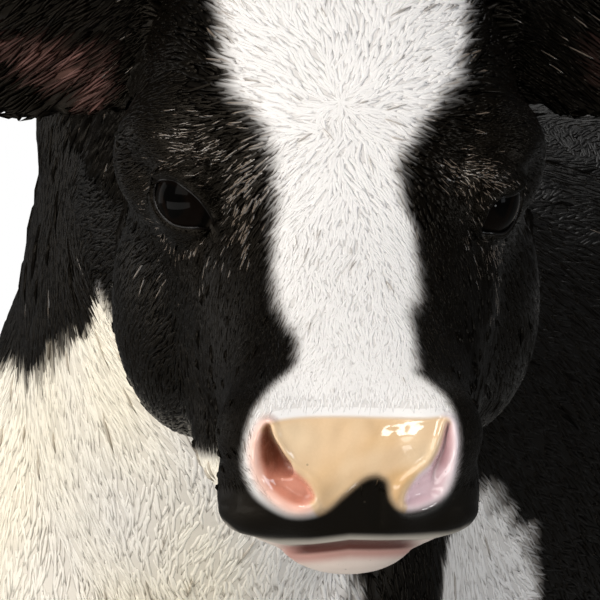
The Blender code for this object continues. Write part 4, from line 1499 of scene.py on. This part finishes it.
# %% Stroke shapes
BENDS = [(0.10, 0.26), (-0.10, 0.22), (0.22, 0.30), (-0.20, 0.24), (0.02, 0.20)]
STROKE_FACES = [(0, 2, 1), (0, 3, 2), (0, 1, 3), (1, 2, 5, 4), (2, 3, 6, 5), (3, 1, 4, 6),
                (4, 5, 7), (5, 6, 7), (6, 4, 7)]


def make_strokes():
    """A few ridges one unit long along Y, about their middle, with their height kept as lift."""
    shelf = bpy.data.collections.new("strokes")
    for number, (bend, early) in enumerate(BENDS):
        rows = [(0.0, 0.0, -0.35), (early, 0.46, 0.85), (0.64, 0.40, 1.0), (1.0, 0.0, 0.10)]
        places, lifts = [], []
        for y, half, lift in rows:
            x = bend * (y * y - y * 0.4)
            y -= 0.5
            if half == 0:
                places.append((x, y, 0))
                lifts.append(lift)
            else:
                places += [(x - half, y - 0.03, 0), (x, y, 0), (x + half, y - 0.03, 0)]
                lifts += [-0.25, lift, -0.25]
        mesh = bpy.data.meshes.new(f"stroke_{number}")
        mesh.from_pydata([Vector(p) for p in places], [], STROKE_FACES)
        layer = mesh.attributes.new("lift", "FLOAT", "POINT")
        layer.data.foreach_set("value", lifts)
        patch = mesh.attributes.new("patch", "FLOAT_VECTOR", "POINT")
        flat = [c for p in places for c in (p[0] + 0.5, p[1] + 0.5, 0.0)]
        patch.data.foreach_set("vector", flat)
        shelf.objects.link(bpy.data.objects.new(f"stroke_{number}", mesh))
    return shelf


strokes = make_strokes()


# %% The tree that lays the coat
def named(tree, name, kind="FLOAT"):
    read = node(tree, "GeometryNodeInputNamedAttribute", data_type=kind)
    read.inputs["Name"].default_value = name
    return read.outputs["Attribute"]


def stored(tree, geometry, name, kind, domain, value):
    write = node(tree, "GeometryNodeStoreNamedAttribute", data_type=kind, domain=domain)
    write.inputs["Name"].default_value = name
    link(tree, geometry, write.inputs["Geometry"])
    link(tree, value, write.inputs["Value"])
    return write.outputs["Geometry"]


def feed(tree, socket, value):
    """Gives a socket a plain value, or a link from another node."""
    if isinstance(value, (int, float, tuple)):
        socket.default_value = value
    else:
        link(tree, value, socket)


def maths(tree, operation, first, second, clamp=False):
    step = node(tree, "ShaderNodeMath", operation=operation, use_clamp=clamp)
    for socket, value in zip(step.inputs, (first, second)):
        feed(tree, socket, value)
    return step.outputs[0]


def product(tree, first, *others):
    """Several values multiplied, one after the other."""
    for other in others:
        first = maths(tree, "MULTIPLY", first, other)
    return first


def vector_maths(tree, operation, first, **others):
    """The other inputs are given by name: second, or scale."""
    step = node(tree, "ShaderNodeVectorMath", operation=operation)
    link(tree, first, step.inputs[0])
    for name, value in others.items():
        feed(tree, step.inputs[{"second": 1, "scale": "Scale"}[name]], value)
    return step.outputs[0]


def chance(tree, seed, low, high, offset):
    """A random number for each stroke."""
    draw = node(tree, "FunctionNodeRandomValue", data_type="FLOAT")
    draw.inputs[2].default_value, draw.inputs[3].default_value = low, high
    link(tree, maths(tree, "ADD", seed, offset), draw.inputs["Seed"])
    return draw.outputs[1]


def on_skin(tree, skin_mesh, value, kind, place):
    sample = node(tree, "GeometryNodeSampleNearestSurface", data_type=kind)
    link(tree, skin_mesh, sample.inputs[0])
    link(tree, value, sample.inputs["Value"])
    link(tree, place, sample.inputs["Sample Position"])
    return sample.outputs[0]


# %% The coat's tree, step by step
COAT_INPUTS = [
    ("Skin", "NodeSocketGeometry", None), ("Zone", "NodeSocketInt", 0),
    ("Density", "NodeSocketFloat", 1.0), ("Width", "NodeSocketFloat", 0.13),
    ("Height", "NodeSocketFloat", 0.0007), ("Disorder", "NodeSocketFloat", 0.35),
    ("Airbrushed", "NodeSocketFloat", 1.0), ("Seed", "NodeSocketInt", 1),
    ("Strokes", "NodeSocketCollection", None), ("Paint", "NodeSocketMaterial", None),
]
# A slit's dark is painted: the wash and the shade inside a carved cut.
SLITS = 0.04  # the share of strokes that are thin dark cuts, where the relief is 1
PATCH_SIZE = 0.003  # a stroke's own patch of the flat map


def coat_sockets(tree):
    for name, kind, value in COAT_INPUTS:
        socket = tree.interface.new_socket(name, in_out="INPUT", socket_type=kind)
        if value is not None:
            socket.default_value = value
    tree.interface.new_socket("Coat", in_out="OUTPUT", socket_type="NodeSocketGeometry")
    return node(tree, "NodeGroupInput").outputs


def scattered_roots(tree, given):
    """Points on the zone's triangles, as many as the room there allows."""
    in_zone = node(tree, "FunctionNodeCompare", data_type="INT", operation="EQUAL")
    link(tree, named(tree, "zone", "INT"), in_zone.inputs[2])
    link(tree, given["Zone"], in_zone.inputs[3])
    scatter = node(tree, "GeometryNodeDistributePointsOnFaces", distribute_method="RANDOM")
    for key, value in {
        "Mesh": given["Skin"], "Selection": in_zone.outputs[0], "Seed": given["Seed"],
        "Density": product(tree, named(tree, "room"), given["Density"]),
    }.items():
        link(tree, value, scatter.inputs[key])
    return scatter.outputs["Points"], scatter.outputs["Normal"]


def stroke_kinds(tree, given, dots, at):
    """Keeps at each root where it stands, its kind as a tone, and its height; also says which
    strokes are slits. Tone is 0 for a slit, 0.2 for a polished stroke and 1 for the others."""
    seed, relief = given["Seed"], named(tree, "relief")
    where = named(tree, "OFBake", "FLOAT_VECTOR")
    dots = stored(tree, dots, "root", "FLOAT_VECTOR", "POINT", at)
    dots = stored(tree, dots, "root_map", "FLOAT_VECTOR", "POINT", where)
    draw = maths(tree, "DIVIDE", chance(tree, seed, 0.0, 1.0, 5), relief)
    slit = maths(tree, "LESS_THAN", draw, SLITS)
    shine = maths(tree, "LESS_THAN", chance(tree, seed, 0.0, 1.0, 10), named(tree, "gloss"))
    tone = maths(tree, "SUBTRACT", 1.0, product(tree, shine, 0.8))
    tone = product(tree, tone, maths(tree, "SUBTRACT", 1.0, slit))
    tall = product(tree, given["Height"], chance(tree, seed, 0.55, 1.25, 6))
    tall = product(tree, tall, maths(tree, "ADD", relief, slit))
    dots = stored(tree, dots, "tone", "FLOAT", "POINT", tone)
    return stored(tree, dots, "tall", "FLOAT", "POINT", tall), slit


def stroke_turn(tree, given, normal):
    """Each stroke stands on the skin and points along the lay, a little to one side."""
    turned = node(tree, "ShaderNodeVectorRotate", rotation_type="AXIS_ANGLE")
    link(tree, named(tree, "lay", "FLOAT_VECTOR"), turned.inputs["Vector"])
    link(tree, normal, turned.inputs["Axis"])
    swing = product(tree, chance(tree, given["Seed"], -1.0, 1.0, 7), given["Disorder"])
    link(tree, swing, turned.inputs["Angle"])
    facing = node(tree, "FunctionNodeAxesToRotation", primary_axis="Z", secondary_axis="Y")
    link(tree, normal, facing.inputs["Primary Axis"])
    link(tree, turned.outputs[0], facing.inputs["Secondary Axis"])
    return facing.outputs[0]


def stroke_size(tree, given, slit):
    """Length and width for each stroke; a slit is narrow, and long where nothing is airbrushed."""
    seed, stroke = given["Seed"], named(tree, "stroke")
    longer = maths(tree, "SUBTRACT", 0.45, product(tree, given["Airbrushed"], 0.70))
    longer = maths(tree, "ADD", 1.0, product(tree, slit, longer))
    long = product(tree, stroke, chance(tree, seed, 0.65, 1.35, 8), longer)
    narrow = maths(tree, "SUBTRACT", 1.0, product(tree, slit, 0.80))
    wide = product(tree, stroke, given["Width"], chance(tree, seed, 0.7, 1.3, 9), narrow)
    scale = node(tree, "ShaderNodeCombineXYZ", {2: 1.0})
    link(tree, wide, scale.inputs[0])
    link(tree, long, scale.inputs[1])
    return scale.outputs[0]


def laid_strokes(tree, given, dots, rotation, scale):
    """A stroke shape on every root, made real."""
    shapes = node(
        tree, "GeometryNodeCollectionInfo", {"Separate Children": True, "Reset Children": True}
    )
    link(tree, given["Strokes"], shapes.inputs["Collection"])
    place = node(tree, "GeometryNodeInstanceOnPoints", {"Pick Instance": True})
    for key, value in {
        "Points": dots, "Instance": shapes.outputs[0], "Rotation": rotation, "Scale": scale,
    }.items():
        link(tree, value, place.inputs[key])
    real = node(tree, "GeometryNodeRealizeInstances")
    link(tree, place.outputs[0], real.inputs[0])
    return real.outputs[0]


def pressed_down(tree, given, strokes_laid, at):
    """Every point brought onto the skin, then raised by its lift along the skin's normal."""
    nearest = node(tree, "GeometryNodeProximity", target_element="FACES")
    link(tree, given["Skin"], nearest.inputs[0])
    up = on_skin(tree, given["Skin"], named(tree, "up", "FLOAT_VECTOR"), "FLOAT_VECTOR", at)
    rise = product(tree, named(tree, "lift"), named(tree, "tall"))
    raise_by = vector_maths(tree, "SCALE", vector_maths(tree, "NORMALIZE", up), scale=rise)
    press = node(tree, "GeometryNodeSetPosition")
    link(tree, strokes_laid, press.inputs["Geometry"])
    raised = vector_maths(tree, "ADD", nearest.outputs["Position"], second=raise_by)
    link(tree, raised, press.inputs["Position"])
    return press.outputs[0]


def painted_strokes(tree, given, coat, at):
    """Paint from the place of the root or of the point itself, and a patch of the flat map."""
    where = node(tree, "ShaderNodeMix", data_type="VECTOR")
    link(tree, given["Airbrushed"], where.inputs["Factor"])
    link(tree, named(tree, "root", "FLOAT_VECTOR"), where.inputs[4])
    link(tree, at, where.inputs[5])
    for name, kind in (("paint", "FLOAT_COLOR"), ("black", "FLOAT")):
        value = on_skin(tree, given["Skin"], named(tree, name, kind), kind, where.outputs[1])
        coat = stored(tree, coat, name, kind, "POINT", value)
    patch = named(tree, "patch", "FLOAT_VECTOR")
    spread = vector_maths(tree, "MULTIPLY", patch, second=(PATCH_SIZE, PATCH_SIZE, 0.0))
    root_map = named(tree, "root_map", "FLOAT_VECTOR")
    flat = vector_maths(tree, "ADD", root_map, second=spread)
    return stored(tree, coat, "OFBake", "FLOAT2", "CORNER", flat)


def coat_tree():
    tree = bpy.data.node_groups.new("lay_coat", "GeometryNodeTree")
    given = coat_sockets(tree)
    at = node(tree, "GeometryNodeInputPosition").outputs[0]
    dots, normal = scattered_roots(tree, given)
    dots, slit = stroke_kinds(tree, given, dots, at)
    rotation, scale = stroke_turn(tree, given, normal), stroke_size(tree, given, slit)
    coat = laid_strokes(tree, given, dots, rotation, scale)
    coat = pressed_down(tree, given, coat, at)
    coat = painted_strokes(tree, given, coat, at)
    smooth = node(tree, "GeometryNodeSetShadeSmooth")
    link(tree, coat, smooth.inputs[0])
    dressed = node(tree, "GeometryNodeSetMaterial")
    link(tree, smooth.outputs[0], dressed.inputs[0])
    link(tree, given["Paint"], dressed.inputs["Material"])
    link(tree, dressed.outputs[0], node(tree, "NodeGroupOutput").inputs[0])
    return tree


def set_input(modifier, tree, name, value):
    """Sets a modifier's input by the identifier of its socket."""
    for item in tree.interface.items_tree:
        if item.item_type == "SOCKET" and item.in_out == "INPUT" and item.name == name:
            modifier[item.identifier] = value
            return
    raise KeyError(name)


COAT_TREE = coat_tree()
print("coat tree:", len(COAT_TREE.nodes), "nodes")

# %% [markdown]
# ## Paint under gloss
# One shader group serves every painted surface. It takes the airbrushed colour and darkens it in
# the grooves, partly as a thin wash does and partly as painted shade where the relief shades
# itself. It adds faint mottling and a few dark specks of grit, and also gives a roughness and a
# fine height for the bump.


# %% Shared finish
def mixed(tree, factor, first, second, blend="MIX"):
    step = node(tree, "ShaderNodeMix", data_type="RGBA", blend_type=blend)
    for key, value in (("Factor", factor), (6, first), (7, second)):
        feed(tree, step.inputs[key], value)
    return step.outputs[2]


def mapped(tree, value, low, high, to_low=0.0, to_high=1.0):
    limits = {"From Min": low, "From Max": high, "To Min": to_low, "To Max": to_high}
    step = node(tree, "ShaderNodeMapRange", limits, interpolation_type="SMOOTHSTEP")
    link(tree, value, step.inputs["Value"])
    return step.outputs[0]


FINISH_INPUTS = [
    ("Paint", "NodeSocketColor", (0.8, 0.8, 0.8, 1)), ("Lift", "NodeSocketFloat", 0.5),
    ("Wash", "NodeSocketFloat", 0.5), ("Mottle", "NodeSocketFloat", 0.08),
    ("Specks", "NodeSocketFloat", 0.5), ("Roughness", "NodeSocketFloat", 0.4),
]
FINISH_OUTPUTS = [
    ("Color", "NodeSocketColor"), ("Roughness", "NodeSocketFloat"), ("Height", "NodeSocketFloat"),
]
WASH_AND_SHADE_TINT, GRIT = (0.30, 0.25, 0.20, 1), (0.05, 0.04, 0.03, 1)


def finish_group():
    tree = bpy.data.node_groups.new("paint_with_groove_shade", "ShaderNodeTree")
    for name, kind, value in FINISH_INPUTS:
        tree.interface.new_socket(name, in_out="INPUT", socket_type=kind).default_value = value
    for name, kind in FINISH_OUTPUTS:
        tree.interface.new_socket(name, in_out="OUTPUT", socket_type=kind)
    given = node(tree, "NodeGroupInput").outputs
    coords = node(tree, "ShaderNodeTexCoord").outputs["Object"]
    cloud = node(tree, "ShaderNodeTexNoise", {"Scale": 55.0, "Detail": 3.0})
    grain = node(tree, "ShaderNodeTexNoise", {"Scale": 900.0, "Detail": 3.0})
    grit = node(tree, "ShaderNodeTexVoronoi", {"Scale": 190.0})
    for texture in (cloud, grain, grit):
        link(tree, coords, texture.inputs["Vector"])
    # Painted shade with the wash: the lower a point lies in the relief (Lift), the darker its
    # paint.
    groove = product(tree, mapped(tree, given["Lift"], 0.0, 0.62, 1.0, 0.0), given["Wash"])
    dark = mixed(tree, 1.0, given["Paint"], WASH_AND_SHADE_TINT, "MULTIPLY")
    tinted = mixed(tree, groove, given["Paint"], dark)
    clouded = product(tree, maths(tree, "SUBTRACT", cloud.outputs[0], 0.5), given["Mottle"])
    shade = vector_maths(tree, "SCALE", tinted, scale=maths(tree, "ADD", clouded, 1.0))
    speck = mapped(tree, grit.outputs["Distance"], 0.055, 0.11, 1.0, 0.0)
    speck = product(tree, speck, mapped(tree, cloud.outputs[0], 0.56, 0.60), given["Specks"])
    rough = product(tree, maths(tree, "SUBTRACT", grain.outputs[0], 0.5), 0.22)
    out = node(tree, "NodeGroupOutput").inputs
    link(tree, mixed(tree, speck, shade, GRIT), out["Color"])
    link(tree, maths(tree, "ADD", rough, given["Roughness"], clamp=True), out["Roughness"])
    pitted = maths(tree, "SUBTRACT", grain.outputs[0], product(tree, speck, 0.6))
    link(tree, pitted, out["Height"])
    return tree


FINISH = finish_group()
WARM = (1.0, 0.86, 0.68, 1.0)  # how the plain gloss is tinted


def attribute(tree, name, output="Fac"):
    """A number, or with Color a colour, kept on the mesh."""
    read = node(tree, "ShaderNodeAttribute", attribute_type="GEOMETRY", attribute_name=name)
    return read.outputs[output]


def new_paint(name, finish_values, **shader_values):
    """A material with a Principled shader and a finish group, both set to some constants."""
    material = bpy.data.materials.new(name)
    material.use_nodes = True
    tree = material.node_tree
    shader = tree.nodes["Principled BSDF"]
    for key, value in shader_values.items():
        shader.inputs[key.replace("_", " ")].default_value = value
    finish = node(tree, "ShaderNodeGroup", node_tree=FINISH)
    for key, value in finish_values.items():
        finish.inputs[key].default_value = value
    link(tree, finish.outputs["Color"], shader.inputs["Base Color"])
    link(tree, finish.outputs["Roughness"], shader.inputs["Roughness"])
    return material, tree, shader, finish


def add_bump(tree, shader, height, strength, distance):
    bump = node(tree, "ShaderNodeBump", {"Strength": strength, "Distance": distance})
    link(tree, height, bump.inputs["Height"])
    link(tree, bump.outputs[0], shader.inputs["Normal"])


# %% [markdown]
# ## Two enamels
# The strokes of the coat and the skin under them wear the same colours, but not the same finish.
# A slit is painted dark, as the wash and the shade inside a carved cut, whatever it is cut in.
# A polished stroke on the black has a clear coat, which shines where a lamp finds it, and a painted
# highlight: its crest is painted a lighter beige. The nose and lips are wet, and lumpy enough to
# break up their reflections.


# %% Paint of the coat
# A painted highlight: crests of polished black strokes are painted this lighter beige.
PAINTED_HIGHLIGHT = (0.22, 0.17, 0.13, 1)


def coat_paint():
    material, tree, shader, finish = new_paint(
        "coat_enamel", {"Wash": 0.80, "Mottle": 0.08, "Specks": 0.40},
        Coat_Roughness=0.14, Specular_IOR_Level=0.08, Specular_Tint=WARM,
    )
    lift, tone, black = (attribute(tree, name) for name in ("lift", "tone", "black"))
    not_slit = mapped(tree, tone, 0.05, 0.15)
    crest = product(tree, mapped(tree, tone, 0.3, 0.6, 0.7, 0.0), mapped(tree, lift, 0.5, 1.0))
    painted_highlight = product(tree, crest, not_slit)
    paint = mixed(tree, painted_highlight, attribute(tree, "paint", "Color"), PAINTED_HIGHLIGHT)
    link(tree, paint, finish.inputs["Paint"])
    # Painted shade with the wash in the grooves between strokes; deeper on the black, where only
    # crests keep colour.
    light_wash_and_shade = mapped(tree, lift, -0.25, 0.6, 0.45, 0.62)
    dark_wash_and_shade = mapped(tree, lift, 0.25, 1.0, 0.0, 0.62)
    washed_and_shaded = product(tree, maths(tree, "SUBTRACT", dark_wash_and_shade, light_wash_and_shade), black)
    washed_and_shaded = maths(tree, "ADD", washed_and_shaded, light_wash_and_shade)
    # Slits painted dark, as the shade and wash inside a cut.
    slit_shade = mapped(tree, tone, 0.05, 0.15, 0.35, 1.0)
    link(tree, product(tree, washed_and_shaded, slit_shade), finish.inputs["Lift"])
    polished = product(tree, mapped(tree, tone, 0.3, 0.6, 0.75, 0.0), black, not_slit)
    link(tree, maths(tree, "ADD", polished, 0.008), shader.inputs["Coat Weight"])
    link(tree, mapped(tree, black, 0.0, 1.0, 0.42, 0.30), finish.inputs["Roughness"])
    add_bump(tree, shader, finish.outputs["Height"], 0.10, 0.0004)
    return material


COAT_PAINT = coat_paint()
print(COAT_PAINT.name, len(COAT_PAINT.node_tree.nodes), "nodes")


# %% Paint of the skin
def skin_paint():
    material, tree, shader, finish = new_paint(
        "skin_enamel", {"Wash": 0.75, "Mottle": 0.12, "Specks": 0.35},
        Coat_Roughness=0.07, Specular_IOR_Level=0.10, Specular_Tint=WARM,
    )
    bare_amount, black, wet = (attribute(tree, name) for name in ("bare", "black", "wet"))
    link(tree, attribute(tree, "paint", "Color"), finish.inputs["Paint"])
    # Painted shade: skin seen between the strokes is darkened as groove shade, most on the black;
    # bare skin stays light.
    shaded = product(tree, black, -0.32)
    shaded = maths(tree, "ADD", shaded, mapped(tree, bare_amount, 0.2, 0.8, 0.40, 0.80))
    link(tree, shaded, finish.inputs["Lift"])
    link(tree, mapped(tree, wet, 0.0, 1.0, 0.46, 0.27), finish.inputs["Roughness"])
    link(tree, mapped(tree, wet, 0.0, 1.0, 0.02, 1.0), shader.inputs["Coat Weight"])
    dents = node(tree, "ShaderNodeTexNoise", {"Scale": 85.0, "Detail": 1.0})
    link(tree, node(tree, "ShaderNodeTexCoord").outputs["Object"], dents.inputs["Vector"])
    lumps = product(tree, dents.outputs[0], 6.0, wet)
    height = maths(tree, "ADD", lumps, product(tree, finish.outputs["Height"], 0.35))
    add_bump(tree, shader, height, 0.5, 0.0006)
    return material


def dress(made, material):
    """One material and smooth shading; faces with more than four corners stay flat."""
    made.data.materials.clear()
    made.data.materials.append(material)
    rounded = [len(face.vertices) <= 4 for face in made.data.polygons]
    made.data.polygons.foreach_set("use_smooth", rounded)
    return made


print("skin in", dress(skin, skin_paint()).data.materials[0].name)

# %% Laying the coat
STROKES_PER_PIECE = 16000
KEPT_LAYERS = {"paint", "black", "lift", "tone", "OFBake", "position", "sharp_face",
               "material_index"}


def lay_coat(name):
    density, width, height, disorder, airbrushed = COATS[name]
    density = min(density, STROKES_PER_PIECE / max(rooms[name], 1.0))
    ground = placed(name + "_ground", skin.data)
    layer = ground.modifiers.new("lay_coat", "NODES")
    layer.node_group = COAT_TREE
    for key, value in {
        "Zone": NUMBER[name], "Density": density, "Width": width, "Height": height,
        "Disorder": disorder, "Airbrushed": airbrushed, "Seed": 40 + NUMBER[name],
        "Strokes": strokes, "Paint": COAT_PAINT,
    }.items():
        set_input(layer, COAT_TREE, key, value)
    mesh = evaluated_mesh(ground, all_layers=True)
    bpy.data.objects.remove(ground)
    for layer_name in [a.name for a in mesh.attributes if not a.is_internal and not a.is_required]:
        if layer_name not in KEPT_LAYERS:
            mesh.attributes.remove(mesh.attributes[layer_name])
    count = sum(len(p.vertices) - 2 for p in mesh.polygons)
    print(name, len(mesh.vertices) // 8, "strokes,", count, "triangles")
    return placed(name, mesh)


coats = [lay_coat(name) for name in COATS]

# %% [markdown]
# ## Eyes
# Glass eyes were set behind the lids. Each is a ball with a slightly raised cornea over a broad
# dark iris and an oval pupil, and a thin wet rim runs round the opening of the lids.


# %% Eyeballs
EYE_SHADES = [  # from the pupil's middle to the white's edge
    (0.0, (0.0012, 0.0011, 0.0010, 1)), (0.30, (0.0012, 0.0011, 0.0010, 1)),
    (0.36, (0.0028, 0.0018, 0.0013, 1)), (0.64, (0.0044, 0.0028, 0.0020, 1)),
    (0.74, (0.0020, 0.0018, 0.0016, 1)), (0.84, (0.0040, 0.0034, 0.0028, 1)),
    (0.92, (0.030, 0.024, 0.019, 1)), (1.0, (0.060, 0.046, 0.036, 1)),
]


def eye_paint():
    material, tree, _, finish = new_paint(
        "dark_glass", {"Lift": 0.8, "Specks": 0.0, "Roughness": 0.12},
        Coat_Weight=0.03, Coat_Roughness=0.03, Specular_IOR_Level=0.01,
    )
    shades = node(tree, "ShaderNodeValToRGB")
    stops = shades.color_ramp.elements
    stops[0].color, stops[1].color = EYE_SHADES[0][1], EYE_SHADES[-1][1]
    for position, colour in EYE_SHADES[1:-1]:
        stops.new(position).color = colour
    link(tree, attribute(tree, "iris"), shades.inputs[0])
    link(tree, shades.outputs[0], finish.inputs["Paint"])
    return material


EYE_PAINT = eye_paint()


def make_eye(name, side):
    build = bmesh.new()
    axis = unit_of(LEFT * side * 0.68 + ALONG * 0.62 + OUT * 0.30)
    across = unit_of(np.cross(OUT, axis))
    up = np.cross(axis, across)
    turn = Matrix([across, up, axis]).transposed().to_4x4()
    bmesh.ops.create_uvsphere(build, u_segments=64, v_segments=40, radius=1.0, matrix=turn)
    for vertex in build.verts:
        ray = np.array(vertex.co)
        off = math.acos(max(-1.0, min(1.0, float(ray @ axis))))
        cornea = 0.0009 * max(0.0, 1 - (off / 0.75) ** 2)
        vertex.co = Vector(EYES[side] + ray * (EYE_RADIUS + cornea))
    made = object_of(build, name)
    rays = unit(read_points(made.data) - EYES[side])
    wide, tall, ahead = rays @ across, rays @ up, rays @ axis
    off = np.arctan2(np.sqrt((wide * 0.82) ** 2 + tall**2), ahead) / 1.15
    corner = rays @ (FACE_RIGHT * side * 0.96 - FACE_UP * 0.28)
    off = np.maximum(off, 0.82 * ramp(corner, 0.60, 0.86) + 0.18 * ramp(corner, 0.90, 0.985))
    layer = made.data.attributes.new("iris", "FLOAT", "POINT")
    layer.data.foreach_set("value", np.clip(off, 0, 1).astype(np.float32))
    return dress(made, EYE_PAINT)


eyes = {name: make_eye(f"eyeball_{name}", side) for name, side in SIDES.items()}
print("eyes", {name: made.dimensions.x for name, made in eyes.items()})


# %% Wet rims
def sweep(build, path, radius, sides=10):
    """A closed tube along a closed path of points."""
    count = len(path)
    loops = []
    for i in range(count):
        forward = unit_of(path[(i + 1) % count] - path[i - 1])
        first = unit_of(np.cross(forward, path[i] - path.mean(axis=0)))
        second = np.cross(forward, first)
        loop = []
        for k in range(sides):
            angle = 2 * math.pi * k / sides
            offset = first * math.cos(angle) + second * math.sin(angle)
            loop.append(build.verts.new(Vector(path[i] + offset * radius)))
        loops.append(loop)
    for i in range(count):
        near, far = loops[i], loops[(i + 1) % count]
        for k in range(sides):
            n = (k + 1) % sides
            build.faces.new((near[k], near[n], far[n], far[k]))


RIM_RADIUS, RIM_GAP = 0.0006, 0.0001  # half the rim's thickness, and its way outside the lids


def lid_path(side):
    """The lid margin on the ball, a hair outside the opening."""
    middle, across, rise_axis = lid_plane(side)
    made = []
    for x, y in lid_outline(side):
        length = math.hypot(x, y)
        angle = (length + RIM_GAP * 1000) / 1000 / EYE_RADIUS
        direction = (across * x + rise_axis * y) / length
        ray = middle * math.cos(angle) + direction * math.sin(angle)
        made.append(EYES[side] + ray * (EYE_RADIUS + RIM_RADIUS))
    return np.array(made)


RIM_PAINT, _, _, _ = new_paint(
    "wet_rim", {"Paint": (0.0035, 0.0025, 0.0020, 1), "Roughness": 0.22, "Lift": 0.8},
    Coat_Weight=0.15, Coat_Roughness=0.12, Specular_IOR_Level=0.1,
)


def make_rim(name, side):
    build = bmesh.new()
    sweep(build, lid_path(side), RIM_RADIUS)
    return dress(object_of(build, name), RIM_PAINT)


rims = {name: make_rim(f"eye_rim_{name}", side) for name, side in SIDES.items()}
print("rims:", [rim.name for rim in rims.values()])

# %% [markdown]
# ## Hooves
# Each foot ends in two claws with a cleft between them. A claw is a loft of blunt sections that
# narrow to the toe and lean back as they rise, with faint growth rings, painted as dark horn.


# %% Hooves
HOOF_HEIGHT = 0.046
CLAW_WIDTH, CLAW_LENGTH, CLAW_SIDE = 0.0296, 0.0744, 0.0152
CLAW_POINTS, CLAW_LEVELS = 40, 22
DARK_HORN, PALE_HORN = (0.020, 0.016, 0.013, 1), (0.052, 0.042, 0.034, 1)


def hoof_paint():
    material, tree, shader, finish = new_paint(
        "dark_horn", {"Lift": 0.7, "Roughness": 0.40, "Mottle": 0.35},
        Coat_Weight=0.3, Coat_Roughness=0.2,
    )
    growth = {"Scale": 90.0, "Distortion": 1.5, "Detail": 2.0}
    rings = node(tree, "ShaderNodeTexWave", growth, bands_direction="Z")
    link(tree, node(tree, "ShaderNodeTexCoord").outputs["Object"], rings.inputs["Vector"])
    streak = mixed(tree, rings.outputs["Fac"], DARK_HORN, PALE_HORN)
    link(tree, streak, finish.inputs["Paint"])
    add_bump(tree, shader, finish.outputs["Height"], 0.3, 0.0005)
    return material


HOOF_PAINT = hoof_paint()


def claw_level(middle_x, y, claw, t):
    """One level section of a claw, t of the way up: blunt, and narrower at the toe."""
    scale = 1.0 - 0.20 * t**1.15 + 0.006 * math.sin(t * 34)
    scale *= min(1.0, 0.93 + 0.9 * t)
    if t > 0.93:
        scale *= 1 - 5.0 * (t - 0.93) ** 1.2
    points = []
    for k in range(CLAW_POINTS):
        angle = 2 * math.pi * k / CLAW_POINTS
        across, back = math.cos(angle), math.sin(angle)
        across = math.copysign(abs(across) ** 0.85, across)
        x = CLAW_WIDTH / 2 * across * (1 - 0.45 * max(0.0, -back) ** 2)
        if x * claw < 0:
            x *= 0.95
        x = middle_x + claw * CLAW_SIDE + x * scale
        points.append(Vector((x, y + 0.008 * t + CLAW_LENGTH / 2 * back * scale, HOOF_HEIGHT * t)))
    return points


def make_hoof(name, node_name):
    low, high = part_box(node_name)
    middle_x, y = (low.x + high.x) / 2, (low.y + high.y) / 2
    build = bmesh.new()
    for claw in (-1, 1):
        levels = [level / CLAW_LEVELS for level in range(CLAW_LEVELS + 1)]
        add_loft(build, [claw_level(middle_x, y, claw, t) for t in levels])
    add_mass(build, (middle_x, y + 0.010, HOOF_HEIGHT - 0.010), (0.022, 0.024, 0.0100))
    return dress(object_of(build, name), HOOF_PAINT)


hooves = {
    f"{pair}_{name}": make_hoof(f"claws_{pair}_{name}", f"hoof_{pair}_{name}")
    for pair in ("front", "hind")
    for name in SIDES
}
print("hooves:", sorted(hooves))

# %% [markdown]
# ## What stands for what
# The skin replaces every solid of flesh, the eyeballs and claws replace theirs, and the coat and
# the rims ride along. All of it moves with the one body of the statue.

# %% Bodies and hidden solids
FLESH = ["head", "muzzle", "lower_jaw", "neck", "trunk", "tail", "tail_switch", "ear_left",
         "ear_right", "foreleg_left", "foreleg_right", "hind_leg_left", "hind_leg_right"]
for name in ("zone", "room", "stroke", "relief", "gloss", "up", "lay"):
    skin.data.attributes.remove(skin.data.attributes[name])
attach(skin, "root")
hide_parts(*FLESH)
for coat in coats:
    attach(coat, "root")
for name in SIDES:
    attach(eyes[name], "root")
    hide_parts(f"eye_{name}")
    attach(rims[name], "root")
for key, hoof in hooves.items():
    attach(hoof, "root")
    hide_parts(f"hoof_{key}")
for leftover in list(strokes.objects):
    bpy.data.objects.remove(leftover)
bpy.data.collections.remove(strokes)
